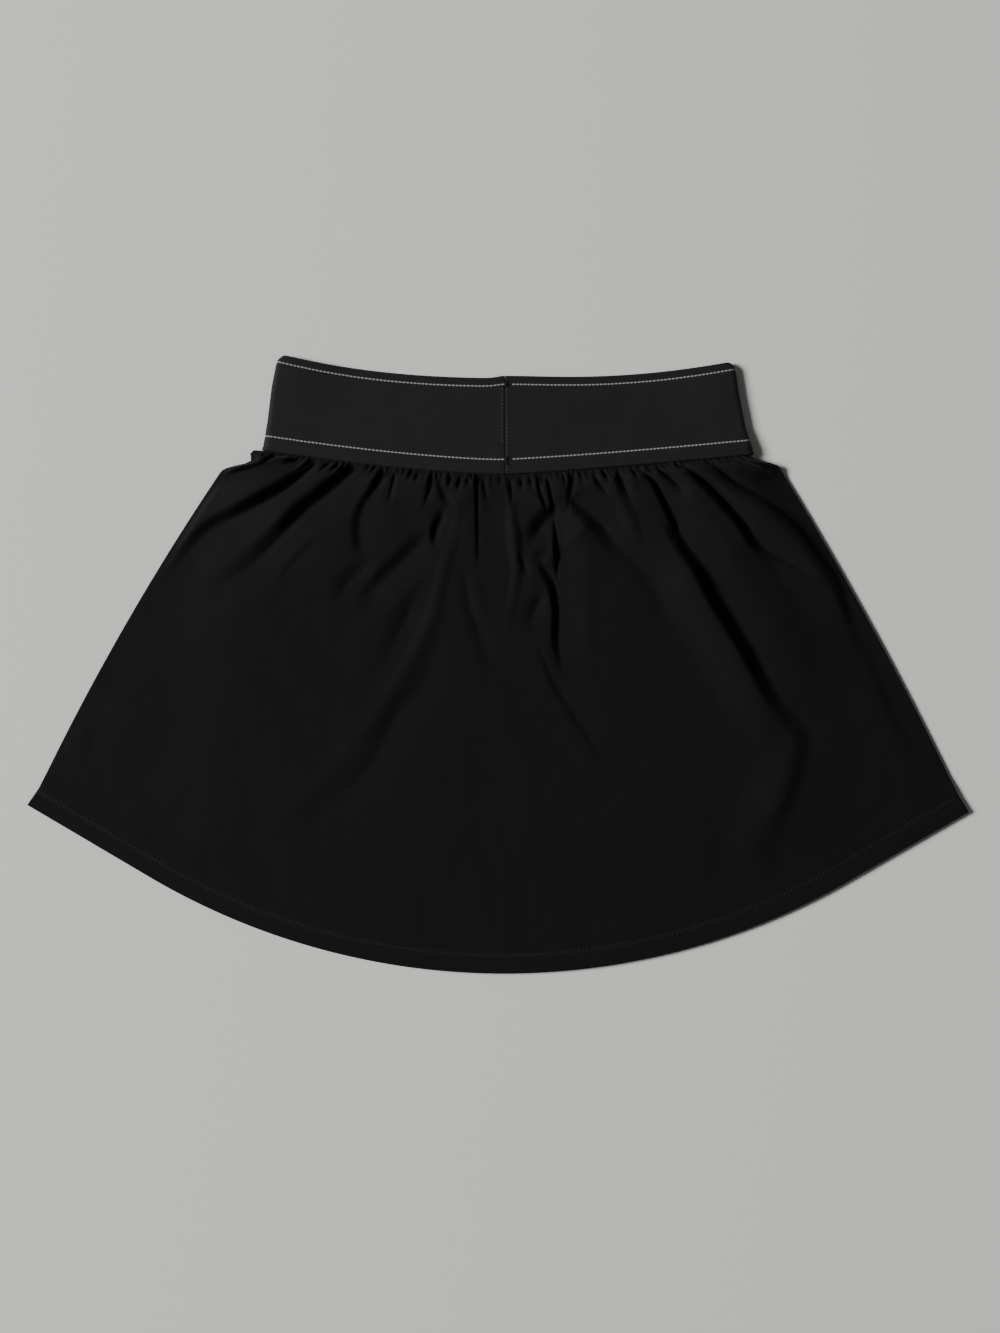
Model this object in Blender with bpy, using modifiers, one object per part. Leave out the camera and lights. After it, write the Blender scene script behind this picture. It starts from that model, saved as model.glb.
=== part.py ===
"""Tennis skort laid flat with its back up, as closed solids at real size (metres, +Z up).

The front panel of the skirt lies on the surface at z = 0. The inner shorts lie on it, the back
panel covers them, and a wide elastic waistband holds all their top edges: one strip bent into a
flattened ring whose ends meet at the centre back. The origin is at the middle of the underside,
+X is the garment's right side as it lies, and +Y points to the waist.
All sizes below are in millimetres and are turned into metres when a mesh is made.
"""

from dataclasses import dataclass
import math
from typing import Callable

import bmesh
import bpy
import numpy as np

METRES = 0.001

# ---------------------------------------------------------------- cloth and clearances
CLOTH_WALL = 1.0
HEM_WALL = 1.8
HEM_DEPTH = 14.0
BAND_WALL = 1.8
SEAM_GAP = 0.3
TUCK_DEPTH = 4.0
TUCK_CLEARANCE = 1.5
SIDE_CLEARANCE = 0.25

# ---------------------------------------------------------------- heights of the layers
FRONT_TUCK_BOTTOM = BAND_WALL + SEAM_GAP
SHORTS_FRONT_TUCK = FRONT_TUCK_BOTTOM + CLOTH_WALL + SEAM_GAP
SHORTS_BACK_TUCK = SHORTS_FRONT_TUCK + CLOTH_WALL + SEAM_GAP
BACK_TUCK_TOP = SHORTS_BACK_TUCK + CLOTH_WALL + SEAM_GAP + CLOTH_WALL
FRONT_CREASE_LIFT = 1.2
SHORTS_FRONT_FLAT = FRONT_CREASE_LIFT + CLOTH_WALL + SEAM_GAP
SHORTS_BACK_FLAT = SHORTS_FRONT_FLAT + CLOTH_WALL + SEAM_GAP
BACK_FLAT_OVER_SHORTS = SHORTS_BACK_FLAT + 2 * CLOTH_WALL + SEAM_GAP
BACK_FLAT_OVER_FRONT = FRONT_CREASE_LIFT + 2 * CLOTH_WALL + SEAM_GAP
BACK_FLAT_AT_HEM = HEM_WALL + SEAM_GAP + HEM_WALL
BACK_FLAT_AT_SIDE = CLOTH_WALL + SEAM_GAP + CLOTH_WALL + SIDE_CLEARANCE
TUCK_TO_FLAT = 20.0

# ---------------------------------------------------------------- skirt, in plan
PANEL_LENGTH = 330.0
WAIST_LEFT = -149.5
WAIST_RIGHT = 164.2
HEM_HALF_WIDTH = 310.2
HEM_LOW_Y = -204.0
HEM_RADIUS = 457.0
HEM_ARC_HALF_WIDTH = 230.0
HEM_TILT = 0.0075
CORNER_LEFT = 24.5
CORNER_RIGHT = 16.5
CORNER_START_LEFT = 0.037
CORNER_START_RIGHT = 0.022
CORNER_END = 0.95
CORNER_FADE = 1.9
CORNER_POWER = 3
LOBE_LEFT = 10.0
LOBE_RIGHT = 1.5
LOBE_POWER = 15
LOBE_START = 0.006
LOBE_HOLD = 0.015
LOBE_FADE = 0.018
LOBE_LIFT = 0.25
SIDE_ROUNDING = 24.0
SIDE_START = 4.0
PUFF_SIDE_REACH_AT_WAIST = 9.0
PUFF_SIDE_REACH = 50.0
FRONT_INSET = 0.997

# ---------------------------------------------------------------- puff of the gathered cloth
PUFF_HEIGHT = 6.5
PUFF_RISE = 6.0
PUFF_REACH = 310.0
PUFF_FADE = 1.5
SEAM_REST_X = 9.0
SEAM_REST_HALF_WIDTH = 34.0
SEAM_REST_REACH = 40.0
SEAM_REST_SHARE = 0.55

# ---------------------------------------------------------------- creases
CREASE_START = 4.0
SHOULDER_START = 6.0
SHOULDER_SIDE_REACH = 5.0
SLOPE_POWER = 1.5
SHOULDER_LIFT = 0.25
ROOM_SHARE = 0.9
FULL_DEPTH = 2.5
SHOULDER_REACH = 28.0
RECOVERY_REACH = 22.0
TALLEST_WALL = 2.0
GATHER_LEFT = 3.0
GATHER_RIGHT = 2.2
GATHER_WALL = 0.9
GATHER_SPREAD = 1.2
GATHER_LEAN = math.radians(65.0)
GATHER_LEAN_REACH = 150.0

# ---------------------------------------------------------------- inner shorts, in plan
SHORTS_CENTRE_X = 4.0
SHORTS_WAIST_HALF_WIDTH = 146.0
SHORTS_SIDE_FLARE = 0.25
SHORTS_COVER = 2.0
SHORTS_SKIRT_MARGIN = 60.0
SHORTS_COLUMNS = 8

# ---------------------------------------------------------------- waistband
BAND_SEAM_X = 4.6
BAND_HOLLOW_REACH = 0.35
BAND_BACK_STEPS = 13
BAND_FOLD_STEPS = 6
BAND_FRONT_STEPS = 22

# ---------------------------------------------------------------- fineness of the meshes
BACK_GRID = (260, 120)
BACK_SHARE_KEPT = 0.085
FRONT_GRID = (200, 80)
FRONT_SHARE_KEPT = 0.055
ROW_CROWDING = 1.7
ROUTE_STEP = 3.0
SHARP_ANGLE = math.radians(50.0)
WALL_LAYER = "wall"


@dataclass(frozen=True)
class SaggingEdge:
    """A long edge that droops towards its middle and rises to each end."""

    centre_x: float
    low_y: float
    left_reach: float
    left_rise: float
    left_power: float
    right_reach: float
    right_rise: float
    right_power: float

    def height(self, x):
        """The edge's y at each x."""
        left = np.clip(self.centre_x - x, 0.0, None) / self.left_reach
        right = np.clip(x - self.centre_x, 0.0, None) / self.right_reach
        return (
            self.low_y
            + self.left_rise * left**self.left_power
            + self.right_rise * right**self.right_power
        )


BAND_BOTTOM = SaggingEdge(4.0, 124.5, 159.5, 16.1, 1.5, 167.0, 13.4, 1.2)
BAND_TOP = SaggingEdge(12.0, 188.3, 153.0, 15.0, 2.4, 144.0, 11.0, 2.4)


@dataclass(frozen=True)
class BandSection:
    """One level of the waistband, from its bottom edge (0) to its top edge (1)."""

    level: float
    left: float
    right: float
    side_thickness: float
    middle_thickness: float


BAND_SECTIONS = (
    BandSection(0.00, -155.5, 168.6, 9.1, 9.1),
    BandSection(0.09, -154.2, 167.4, 9.1, 9.1),
    BandSection(0.30, -152.0, 163.2, 7.4, 7.0),
    BandSection(0.65, -149.3, 159.0, 7.2, 5.6),
    BandSection(0.93, -145.8, 156.4, 7.1, 4.8),
    BandSection(1.00, -141.5, 152.8, 6.8, 4.6),
)


@dataclass(frozen=True)
class ShortsSection:
    """A line across one half of the shorts, from its inner edge to its side."""

    inner_x: float
    side_x: float
    inner_y: float
    side_y: float


SHORTS_SECTIONS = (
    ShortsSection(0.15, 151.0, 66.0, 78.0),
    ShortsSection(0.15, 165.0, 20.0, 28.0),
    ShortsSection(0.15, 171.0, -34.0, -30.0),
    ShortsSection(3.0, 172.0, -50.0, -44.0),
    ShortsSection(16.0, 176.0, -106.0, -84.0),
)


@dataclass(frozen=True)
class Crease:
    """A fold of a panel: a trough along a route, or a ridge where its depths are negative.

    left and right are how far the cloth slopes to the trough's line from either side at the
    route's start, and spread is how many times wider they are at its end. deep holds the depths
    at even steps from the route's start to its end. wall is the share of the depth that the
    cloth regains in the right slope; it regains the rest slowly beyond it.
    """

    name: str
    left: float
    right: float
    spread: float
    deep: tuple
    wall: float
    route: tuple


BACK_CREASES = (
    Crease("left_corner", 3.2, 8.0, 1.1, (6.0, 8.0, 8.5, 7.5, 4.0), 0.2,
           ((-130, 135), (-138, 132), (-148, 131.5), (-158, 130), (-172, 126), (-184, 121.5))),
    Crease("left_outer", 6.5, 4.5, 1.2, (10.5, 11.0, 11.0, 10.0, 7.0, 3.0, 1.0, 0.0), 0.3,
           ((-119, 132), (-129, 123.5), (-139, 116), (-153, 107.5), (-171, 97.5), (-194, 84),
            (-224, 48))),
    Crease("left_tab", 2.6, 2.0, 1.0, (3.4, 3.0, 0.0), 0.8,
           ((-128, 135), (-132, 131), (-137, 126))),
    Crease("left_inner", 8.0, 4.5, 1.4, (9.0, 10.5, 10.0, 4.2, 2.2, 0.0), 0.3,
           ((-93, 130), (-102, 121.5), (-115, 110.5), (-128, 100), (-144, 82.5), (-165, 63),
            (-193, 45))),
    Crease("left_faint", 9.0, 7.0, 1.0, (0.0, 1.8, 0.0), 0.4, ((-112, 88), (-146, 54))),
    Crease("left_curl", 4.8, 7.0, 1.3, (5.5, 5.0, 3.0, 2.2, 2.0, 1.8, 0.0), 0.15,
           ((-74, 129), (-78, 121), (-83, 112), (-88, 104), (-91, 94), (-91, 82), (-87, 68))),
    Crease("left_curl_foot", 8.0, 6.0, 1.2, (0.0, 2.0, 1.8, 0.0), 0.3,
           ((-80, 70), (-90, 62), (-99, 53), (-107, 40))),
    Crease("left_branch", 8.0, 8.0, 1.1, (0.0, 3.0, 3.4, 3.2, 2.6, 0.0), 0.25,
           ((-44, 87), (-54, 77), (-61, 70), (-67, 64), (-75, 57), (-83, 49), (-95, 41))),
    Crease("left_nick", 5.0, 5.0, 1.0, (0.0, 3.2, 3.4, 3.2, 0.0), 0.4,
           ((-34.5, 102), (-37.5, 95), (-41, 87), (-42, 76))),
    Crease("left_short", 5.5, 3.5, 1.0, (6.0, 5.0, 3.0, 0.0), 0.5,
           ((-67, 129), (-69, 119), (-73, 101))),
    Crease("left_pinch", 2.2, 4.0, 1.2, (3.4, 3.2, 1.8, 0.0), 0.5,
           ((-44.5, 127), (-45, 115), (-49, 102))),
    Crease("middle_pinch", 5.0, 4.0, 1.2, (3.4, 2.6, 3.2, 0.0), 0.5,
           ((-40.5, 125), (-37, 115), (-30.5, 103))),
    Crease("middle_line", 1.5, 3.0, 1.2, (2.0, 1.8, 1.6, 1.3, 1.0, 0.0), 0.3,
           ((-14, 124), (-14, 109), (-13.6, 92), (-13, 60))),
    Crease("middle_soft", 3.0, 3.0, 1.0, (2.4, 2.4, 1.6, 0.0), 0.5,
           ((-10, 123), (-9, 115), (-7, 108), (-2, 101))),
    Crease("long_ridge", 5.5, 6.5, 2.1, (-0.4, -1.4, -0.9, 0.0), 0.0,
           ((-27, 108), (-27, 92), (-37, 57), (-44, 30), (-58, 2), (-76, -28), (-101, -59),
            (-147, -112))),
    Crease("ridge_left_side", 10.0, 8.0, 1.2, (0.0, 2.0, 0.9, 0.0), 0.4,
           ((-45, 62), (-61, 29), (-76, -2), (-90, -24))),
    Crease("ridge_right_side", 9.0, 12.0, 1.4, (0.0, 1.7, 1.0, 0.0), 0.4,
           ((-36, 22), (-50, -12), (-67, -34), (-88, -71), (-117, -95), (-143, -122))),
    Crease("small_ridge", 7.0, 8.0, 1.0, (0.0, -1.0, 0.0), 0.0, ((-17, 62), (-14, 44), (-8, 24))),
    Crease("small_ridge_side", 6.0, 7.0, 1.3, (0.6, 1.3, 0.0), 0.4,
           ((-22, 58), (-18, 36), (-12, 20), (-2, -10))),
    Crease("left_edge_dent", 8.0, 7.0, 1.0, (0.0, 0.9, 0.0), 0.4, ((-263, -30), (-272, -72))),
    Crease("seam_pinch", 4.0, 3.5, 1.0, (2.0, 2.0, 0.0), 0.6, ((8, 122), (10, 102))),
    Crease("seam_ridge", 6.0, 7.0, 1.0, (-1.0, -2.2, -1.2, 0.0), 0.0,
           ((8, 116), (10, 87), (12, 57), (4, 19))),
    Crease("deep_fold_top", 3.4, 1.8, 0.8, (3.6, 3.4, 4.6, 3.8, 3.2, 2.6, 1.4), 0.2,
           ((32, 123), (35, 110), (37, 97), (38, 84), (38.6, 70), (39, 56))),
    Crease("deep_fold_left", 2.0, 3.0, 1.0, (1.8, 1.8, 1.8, 0.0), 0.3,
           ((26, 121), (28, 111), (34, 97))),
    Crease("deep_fold", 5.5, 3.2, 1.0, (0.0, 4.4, 5.2, 4.8, 4.2, 2.8, 1.8, 0.0), 0.2,
           ((25, 69), (30, 62), (36, 54), (38.5, 42), (39.5, 30), (39.5, 12), (44, -8))),
    Crease("deep_fold_dent", 8.0, 5.5, 1.0, (0.0, 6.5, 5.0, 5.0, 1.4, 0.0), 0.3,
           ((41, 105), (36, 99), (30, 93), (24, 85), (17, 76))),
    Crease("deep_fold_hollow", 7.0, 7.0, 1.0, (0.0, 2.4, 0.0), 0.4,
           ((36, 77), (28, 70), (18, 66))),
    Crease("deep_fold_line", 3.0, 3.0, 1.0, (0.0, 1.6, 0.0), 0.4,
           ((14, 76), (16, 67), (21, 57))),
    Crease("deep_fold_foot", 6.5, 6.5, 1.2, (0.0, 2.2, 1.8, 0.0), 0.4,
           ((32, 48), (25, 37), (20, 22))),
    Crease("deep_fold_tail", 2.4, 2.2, 1.4, (0.0, 1.1, 1.4, 1.4, 0.9, 0.0), 0.5,
           ((24, 17), (32.5, -3), (39.5, -17), (48.5, -31), (57.5, -44.5), (72, -68))),
    Crease("right_of_deep", 8.0, 3.0, 0.8, (4.2, 4.0, 3.8, 0.0), 0.3,
           ((49.5, 124), (48, 112), (44.5, 96))),
    Crease("right_soft", 9.0, 7.0, 1.0, (0.0, 6.5, 8.0, 3.4, 1.4, 0.8, 0.7, 0.5, 0.0), 0.3,
           ((40, 113), (52, 105), (61, 98), (69, 90), (76, 80), (84, 70), (97, 57), (104, 45),
            (107, 26))),
    Crease("right_ridge", 7.0, 8.0, 1.2, (-0.8, -1.6, 0.0), 0.0,
           ((74, 119), (82, 104), (90, 86), (101, 70))),
    Crease("right_short", 4.5, 3.5, 1.3, (3.8, 2.6, 0.0), 0.5, ((62, 125), (67, 118), (75, 107))),
    Crease("right_nick", 5.5, 4.0, 1.5, (5.0, 3.6, 0.0), 0.5, ((78, 127), (82, 118), (89, 105))),
    Crease("main_fold_start", 3.4, 3.2, 1.2, (8.0, 9.0, 6.0, 0.0), 0.9,
           ((84, 131), (91, 127.5), (99, 123), (106, 115))),
    Crease("main_fold_top", 3.0, 2.6, 1.2, (7.5, 7.0, 6.0, 5.6, 5.6, 0.0), 0.3,
           ((88, 131), (94.5, 126), (100.5, 121), (104.5, 115), (108, 108), (112.5, 99),
            (118, 89), (125, 78), (133, 64))),
    Crease("main_fold", 9.0, 6.0, 1.3, (6.0, 11.0, 10.5, 9.5, 7.0, 2.8, 3.2, 3.8, 1.6), 0.3,
           ((118, 88), (125, 77), (135.5, 62), (147, 41), (165, 13), (175.5, -6), (183.5, -19),
            (193.5, -31), (204, -44), (206, -56), (202, -75), (194, -97), (182, -120))),
    Crease("main_fold_nick", 5.5, 4.5, 1.3, (7.5, 7.5, 5.0, 2.0, 0.0), 0.6,
           ((101, 132), (107, 126.5), (116, 119.5), (125, 109))),
    Crease("right_inner", 4.8, 3.6, 1.7, (11.0, 11.0, 9.5, 8.5, 7.5, 3.0, 1.4, 0.0), 0.3,
           ((115, 132.5), (127.5, 126), (138, 117.5), (150, 105.5), (160, 95), (168, 83),
            (178, 74.5), (194, 66), (210, 57))),
    Crease("right_outer", 7.5, 5.0, 1.1, (9.0, 9.5, 9.5, 9.0, 7.5, 5.0, 2.0, 0.0), 0.5,
           ((134, 135), (145, 128), (157, 119), (179, 106), (198, 90.5), (212.5, 72), (226, 53),
            (247, 0))),
    Crease("right_edge_line", 7.0, 6.0, 1.0, (0.0, 1.6, 0.0), 0.4,
           ((240, 22), (252, -8), (266, -40), (284, -69))),
    Crease("right_corner", 4.0, 3.6, 1.0, (0.0, 7.0, 8.0, 6.0), 1.0,
           ((180, 126.5), (168, 128.5), (158, 131.5), (149, 136))),
)


@dataclass(frozen=True)
class Gather:
    """A short tuck of the cloth at the band's edge."""

    x: float
    depth: float
    length: float


BACK_GATHERS = (
    Gather(-148, 3.6, 12), Gather(-142, 4.5, 16), Gather(-118, 4.8, 15), Gather(-108, 4.2, 12),
    Gather(-102, 4.2, 11), Gather(-90, 4.2, 11), Gather(-85, 4.2, 10), Gather(-80, 3.9, 9),
    Gather(-62, 4.2, 11), Gather(-56, 3.4, 10), Gather(-51, 4.2, 10), Gather(-35, 3.6, 9),
    Gather(-30, 4.8, 12), Gather(-24, 4.8, 13), Gather(-19, 3.9, 9), Gather(2, 2.2, 8),
    Gather(15, 3.9, 11), Gather(21, 3.6, 10), Gather(28, 3.9, 10), Gather(42, 4.2, 12),
    Gather(53, 4.5, 11), Gather(57, 3.9, 8), Gather(68, 4.2, 11), Gather(72, 3.9, 9),
    Gather(86, 4.2, 11), Gather(97, 4.2, 9), Gather(107, 4.2, 9), Gather(114, 4.8, 10),
    Gather(126, 4.2, 9), Gather(132, 4.2, 9), Gather(142, 4.2, 9), Gather(147, 4.2, 9),
    Gather(156, 3.9, 10),
)

FRONT_CREASES = (
    Crease("front_left_outer", 8.0, 6.0, 1.3, (1.2, 1.1, 0.0), 0.8,
           ((-112, 130), (-146, 108), (-186, 76), (-214, 30))),
    Crease("front_left_inner", 7.0, 6.0, 1.4, (1.2, 1.1, 0.0), 0.8,
           ((-78, 125), (-92, 92), (-108, 46), (-136, -6))),
    Crease("front_left_long", 9.0, 6.0, 1.4, (1.1, 1.0, 0.0), 0.8,
           ((-40, 120), (-46, 70), (-68, 8), (-92, -70), (-118, -128))),
    Crease("front_middle", 6.0, 6.0, 1.3, (1.2, 1.1, 0.0), 0.8,
           ((-6, 118), (-2, 74), (8, 20), (10, -34))),
    Crease("front_right_long", 6.0, 8.0, 1.5, (1.2, 1.1, 0.0), 0.8,
           ((40, 120), (52, 68), (58, 4), (80, -76))),
    Crease("front_right_inner", 6.0, 6.0, 1.4, (1.1, 1.1, 0.0), 0.8,
           ((84, 124), (100, 84), (128, 36), (148, -20))),
    Crease("front_right_outer", 6.0, 7.0, 1.4, (1.2, 1.1, 0.0), 0.8,
           ((122, 128), (158, 100), (196, 58), (226, 2))),
    Crease("front_hem_left", 9.0, 7.0, 1.0, (0.0, 0.9, 0.0), 0.8,
           ((-176, -40), (-196, -84), (-204, -130))),
    Crease("front_hem_right", 7.0, 9.0, 1.0, (0.0, 0.9, 0.0), 0.8,
           ((150, -62), (164, -108), (170, -148))),
)
FRONT_GATHER_FIRST_X = -138.0
FRONT_GATHER_COUNT = 42
FRONT_GATHER_PITCH = 7.0
FRONT_GATHER_UNEVENNESS = 1.6


def front_gathers():
    """The front panel's gathers, unevenly spaced along the band."""
    return tuple(
        Gather(
            FRONT_GATHER_FIRST_X
            + FRONT_GATHER_PITCH * index
            + FRONT_GATHER_UNEVENNESS * math.sin(2.1 * index),
            1.3 + 0.5 * math.sin(1.7 * index),
            13.0 + 5.0 * math.sin(2.9 * index),
        )
        for index in range(FRONT_GATHER_COUNT)
    )


# ---------------------------------------------------------------- shape helpers


def smooth_step(value):
    """Eases from 0 to 1 as the value goes from 0 to 1."""
    eased = np.clip(value, 0.0, 1.0)
    return eased * eased * (3.0 - 2.0 * eased)


def soft_bump(value):
    """A rounded bump of height 1 at 0 that ends at -1 and 1."""
    return np.clip(1.0 - value * value, 0.0, None) ** 2


def smooth_route(points):
    """Points every few millimetres along a Catmull-Rom curve through the given points."""
    known = np.array(points, dtype=float)
    padded = np.vstack([2 * known[0] - known[1], known, 2 * known[-1] - known[-2]])
    route = []
    for index in range(len(known) - 1):
        before, start, end, after = padded[index:index + 4]
        count = max(2, math.ceil(np.linalg.norm(end - start) / ROUTE_STEP))
        share = np.arange(count)[:, None] / count
        route.append(
            0.5
            * (
                2 * start
                + (end - before) * share
                + (2 * before - 5 * start + 4 * end - after) * share**2
                + (3 * start - before - 3 * end + after) * share**3
            )
        )
    route.append(known[-1:])
    return np.vstack(route)


def beside(route, x, y):
    """Distance of each point to a route, its side of it, and the share of the route's length.

    The side goes smoothly from 0 on the left of a route that runs down from the waist to 1 on
    its right, round the route's ends.
    """
    runs = np.diff(route, axis=0)
    lengths = np.hypot(runs[:, 0], runs[:, 1])
    starts = np.concatenate([[0.0], np.cumsum(lengths)])
    nearest = np.full(x.shape, np.inf)
    side = np.zeros(x.shape)
    along = np.zeros(x.shape)
    for (start_x, start_y), (run_x, run_y), length, travelled in zip(
        route[:-1], runs, lengths, starts[:-1]
    ):
        off_x, off_y = x - start_x, y - start_y
        share = np.clip((off_x * run_x + off_y * run_y) / length**2, 0.0, 1.0)
        distance = np.maximum(np.hypot(off_x - share * run_x, off_y - share * run_y), 1e-6)
        turn = (off_y * run_x - off_x * run_y) / (length * distance)
        nearer = distance < nearest
        nearest = np.where(nearer, distance, nearest)
        side = np.where(nearer, turn, side)
        along = np.where(nearer, (travelled + share * length) / starts[-1], along)
    return nearest, smooth_step((side + 1.0) / 2.0), along


def crease_relief(creases, x, y, room):
    """How far the creases raise the cloth at each point, and how far they sink it.

    A trough sinks no further than its share of the room below the cloth. What it lacks in depth
    the cloth beside it, on the left, stands up. No cloth that stands up fills another trough.
    """
    trough = np.zeros(x.shape)
    raised = np.zeros(x.shape)
    hollow = np.zeros(x.shape)
    for crease in creases:
        route = smooth_route(crease.route)
        reach = crease.spread * max(crease.left, crease.right)
        reach += max(SHOULDER_REACH, RECOVERY_REACH)
        low, high = route.min(axis=0) - reach, route.max(axis=0) + reach
        near = (x > low[0]) & (x < high[0]) & (y > low[1]) & (y < high[1])
        distance, side, along = beside(route, x[near], y[near])
        width = crease.left + (crease.right - crease.left) * side
        width = width * (1.0 + (crease.spread - 1.0) * along)
        depth = np.interp(along, np.linspace(0.0, 1.0, len(crease.deep)), crease.deep)
        inside = np.clip(1.0 - distance / width, 0.0, None)
        if min(crease.deep) < 0.0:
            raised[near] = np.maximum(raised[near], -depth * smooth_step(inside))
            continue
        slope = inside**SLOPE_POWER
        regained = smooth_step(1.0 - distance / RECOVERY_REACH) - slope
        profile = slope + side * (1.0 - crease.wall) * regained
        sunk = np.minimum(depth, ROOM_SHARE * room[near])
        trough[near] = np.maximum(trough[near], sunk * profile)
        hollow[near] = np.maximum(hollow[near], slope * np.minimum(depth / FULL_DEPTH, 1.0))
        shoulder = smooth_step(1.0 + (width - distance) / SHOULDER_REACH)
        lift = np.maximum(depth - sunk, SHOULDER_LIFT * depth)
        lift = lift * (1.0 - side) * (1.0 - slope) * shoulder
        raised[near] = np.maximum(raised[near], lift)
    return raised * (1.0 - hollow), trough


def gather_creases(gathers):
    """Each gather as a short straight crease that leans away from the centre back."""
    creases = []
    for index, gather in enumerate(gathers):
        lean = GATHER_LEAN * (gather.x - BAND_SEAM_X) / GATHER_LEAN_REACH
        start_y = float(BAND_BOTTOM.height(np.array(gather.x)))
        end = (
            gather.x + gather.length * math.sin(lean),
            start_y - gather.length * math.cos(lean),
        )
        creases.append(
            Crease(
                f"gather_{index}", GATHER_LEFT, GATHER_RIGHT, GATHER_SPREAD,
                (gather.depth, gather.depth, 0.0), GATHER_WALL, ((gather.x, start_y), end),
            )
        )
    return tuple(creases)


# ---------------------------------------------------------------- skirt panels


def hem_height(x):
    """The hem's y at each x: an arc in the middle with a straight run to each corner."""
    reach = np.minimum(np.abs(x), HEM_ARC_HALF_WIDTH)
    arc = HEM_RADIUS - np.sqrt(HEM_RADIUS**2 - reach**2)
    slope = HEM_ARC_HALF_WIDTH / math.sqrt(HEM_RADIUS**2 - HEM_ARC_HALF_WIDTH**2)
    return HEM_LOW_Y + arc + slope * (np.abs(x) - reach) - HEM_TILT * x


def at_hem(x, y):
    """1 in a panel's turned hem, falling to 0 above it."""
    reach = np.minimum(np.abs(x), HEM_ARC_HALF_WIDTH)
    slope = reach / np.sqrt(HEM_RADIUS**2 - reach**2)
    above = (y - hem_height(x)) / np.hypot(1.0, slope)
    return 1.0 - smooth_step(above / HEM_DEPTH - 1.0)


def panel_plan(across, down):
    """Plan position of a panel's point.

    across runs from -1 at the left side to 1 at the right, and down from 0 at the waist seam to
    1 at the hem. Small negative values of down lie inside the waistband. Below the band the
    sides spring out in a corner, and a narrow lobe of cloth lies beside the band's ends.
    """
    waist_x = WAIST_LEFT + (WAIST_RIGHT - WAIST_LEFT) * (across + 1.0) / 2.0
    waist_y = BAND_BOTTOM.height(waist_x)
    hem_x = HEM_HALF_WIDTH * across
    below = np.clip(down, 0.0, None)
    left = across < 0.0
    start = np.where(left, CORNER_START_LEFT, CORNER_START_RIGHT)
    corner = np.where(left, CORNER_LEFT, CORNER_RIGHT) * across**CORNER_POWER
    corner = corner * (1.0 - np.exp(-((below / start) ** 4)))
    corner = corner * np.clip(1.0 - (below / CORNER_END) ** CORNER_FADE, 0.0, None)
    lobe = np.where(left, LOBE_LEFT, LOBE_RIGHT) * across**LOBE_POWER
    lobe = lobe * smooth_step(below / LOBE_START)
    lobe = lobe * (1.0 - smooth_step((below - LOBE_HOLD) / LOBE_FADE))
    x = waist_x + (hem_x - waist_x) * down + corner + lobe
    y = waist_y + (hem_height(hem_x) - waist_y) * down + LOBE_LIFT * np.abs(lobe)
    return x, y


def side_share(across, distance, reach):
    """0 at a panel's side edges, rising to 1 at the given reach inside them."""
    waist_half_width = (WAIST_RIGHT - WAIST_LEFT) / 2.0
    half_width = np.interp(distance, (0.0, PANEL_LENGTH), (waist_half_width, HEM_HALF_WIDTH))
    return smooth_step((1.0 - np.abs(across)) * half_width / reach)


def over_shorts(x, y):
    """1 where the shorts lie under the skirt, falling to 0 a little way outside them."""
    inside_x = np.interp(
        -y,
        [-section.side_y for section in SHORTS_SECTIONS],
        [section.side_x for section in SHORTS_SECTIONS],
    )
    outside = (np.abs(x - SHORTS_CENTRE_X) - inside_x - SHORTS_COVER) / SHORTS_SKIRT_MARGIN
    leg = SHORTS_SECTIONS[-1]
    slope = (leg.side_y - leg.inner_y) / (leg.side_x - leg.inner_x)
    leg_end = leg.inner_y + slope * (np.abs(x - SHORTS_CENTRE_X) - leg.inner_x)
    below = (leg_end - SHORTS_COVER - y) / SHORTS_SKIRT_MARGIN
    return (1.0 - smooth_step(outside)) * (1.0 - smooth_step(below))


def back_top(across, distance, x, y):
    """Height of the back panel's upper side, and the height where it lies flat."""
    free = distance - TUCK_CLEARANCE
    lowered = smooth_step(free / TUCK_TO_FLAT)
    hem_share = at_hem(x, y)
    inside = BACK_TUCK_TOP + (BACK_FLAT_OVER_SHORTS - BACK_TUCK_TOP) * lowered
    outside = BACK_FLAT_OVER_FRONT + (BACK_FLAT_AT_HEM - BACK_FLAT_OVER_FRONT) * hem_share
    outside = BACK_TUCK_TOP + (outside - BACK_TUCK_TOP) * lowered
    lowest = outside + (inside - outside) * over_shorts(x, y)
    side_flat = BACK_FLAT_AT_SIDE + (BACK_FLAT_AT_HEM - BACK_FLAT_AT_SIDE) * hem_share
    side_height = BACK_TUCK_TOP + (side_flat - BACK_TUCK_TOP) * lowered
    lying = side_height + (lowest - side_height) * side_share(across, distance, SIDE_ROUNDING)

    puff = PUFF_HEIGHT * smooth_step(free / PUFF_RISE)
    puff = puff * np.clip(1.0 - distance / PUFF_REACH, 0.0, None) ** PUFF_FADE
    side_reach = PUFF_SIDE_REACH_AT_WAIST
    side_reach += (PUFF_SIDE_REACH - side_reach) * smooth_step(distance / PUFF_SIDE_REACH)
    puff = puff * side_share(across, distance, side_reach)
    at_seam = soft_bump((x - SEAM_REST_X) / SEAM_REST_HALF_WIDTH)
    puff = puff * (1.0 - SEAM_REST_SHARE * at_seam * soft_bump(distance / SEAM_REST_REACH))

    raised, trough = crease_relief(BACK_CREASES + gather_creases(BACK_GATHERS), x, y, puff)
    raised = raised * smooth_step(free / SHOULDER_START)
    raised = raised * side_share(across, distance, SHOULDER_SIDE_REACH)
    trough = trough * smooth_step(free / CREASE_START)
    puffed = puff + raised - trough
    return lying + puffed * side_share(across, distance, SIDE_START), lying


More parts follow.
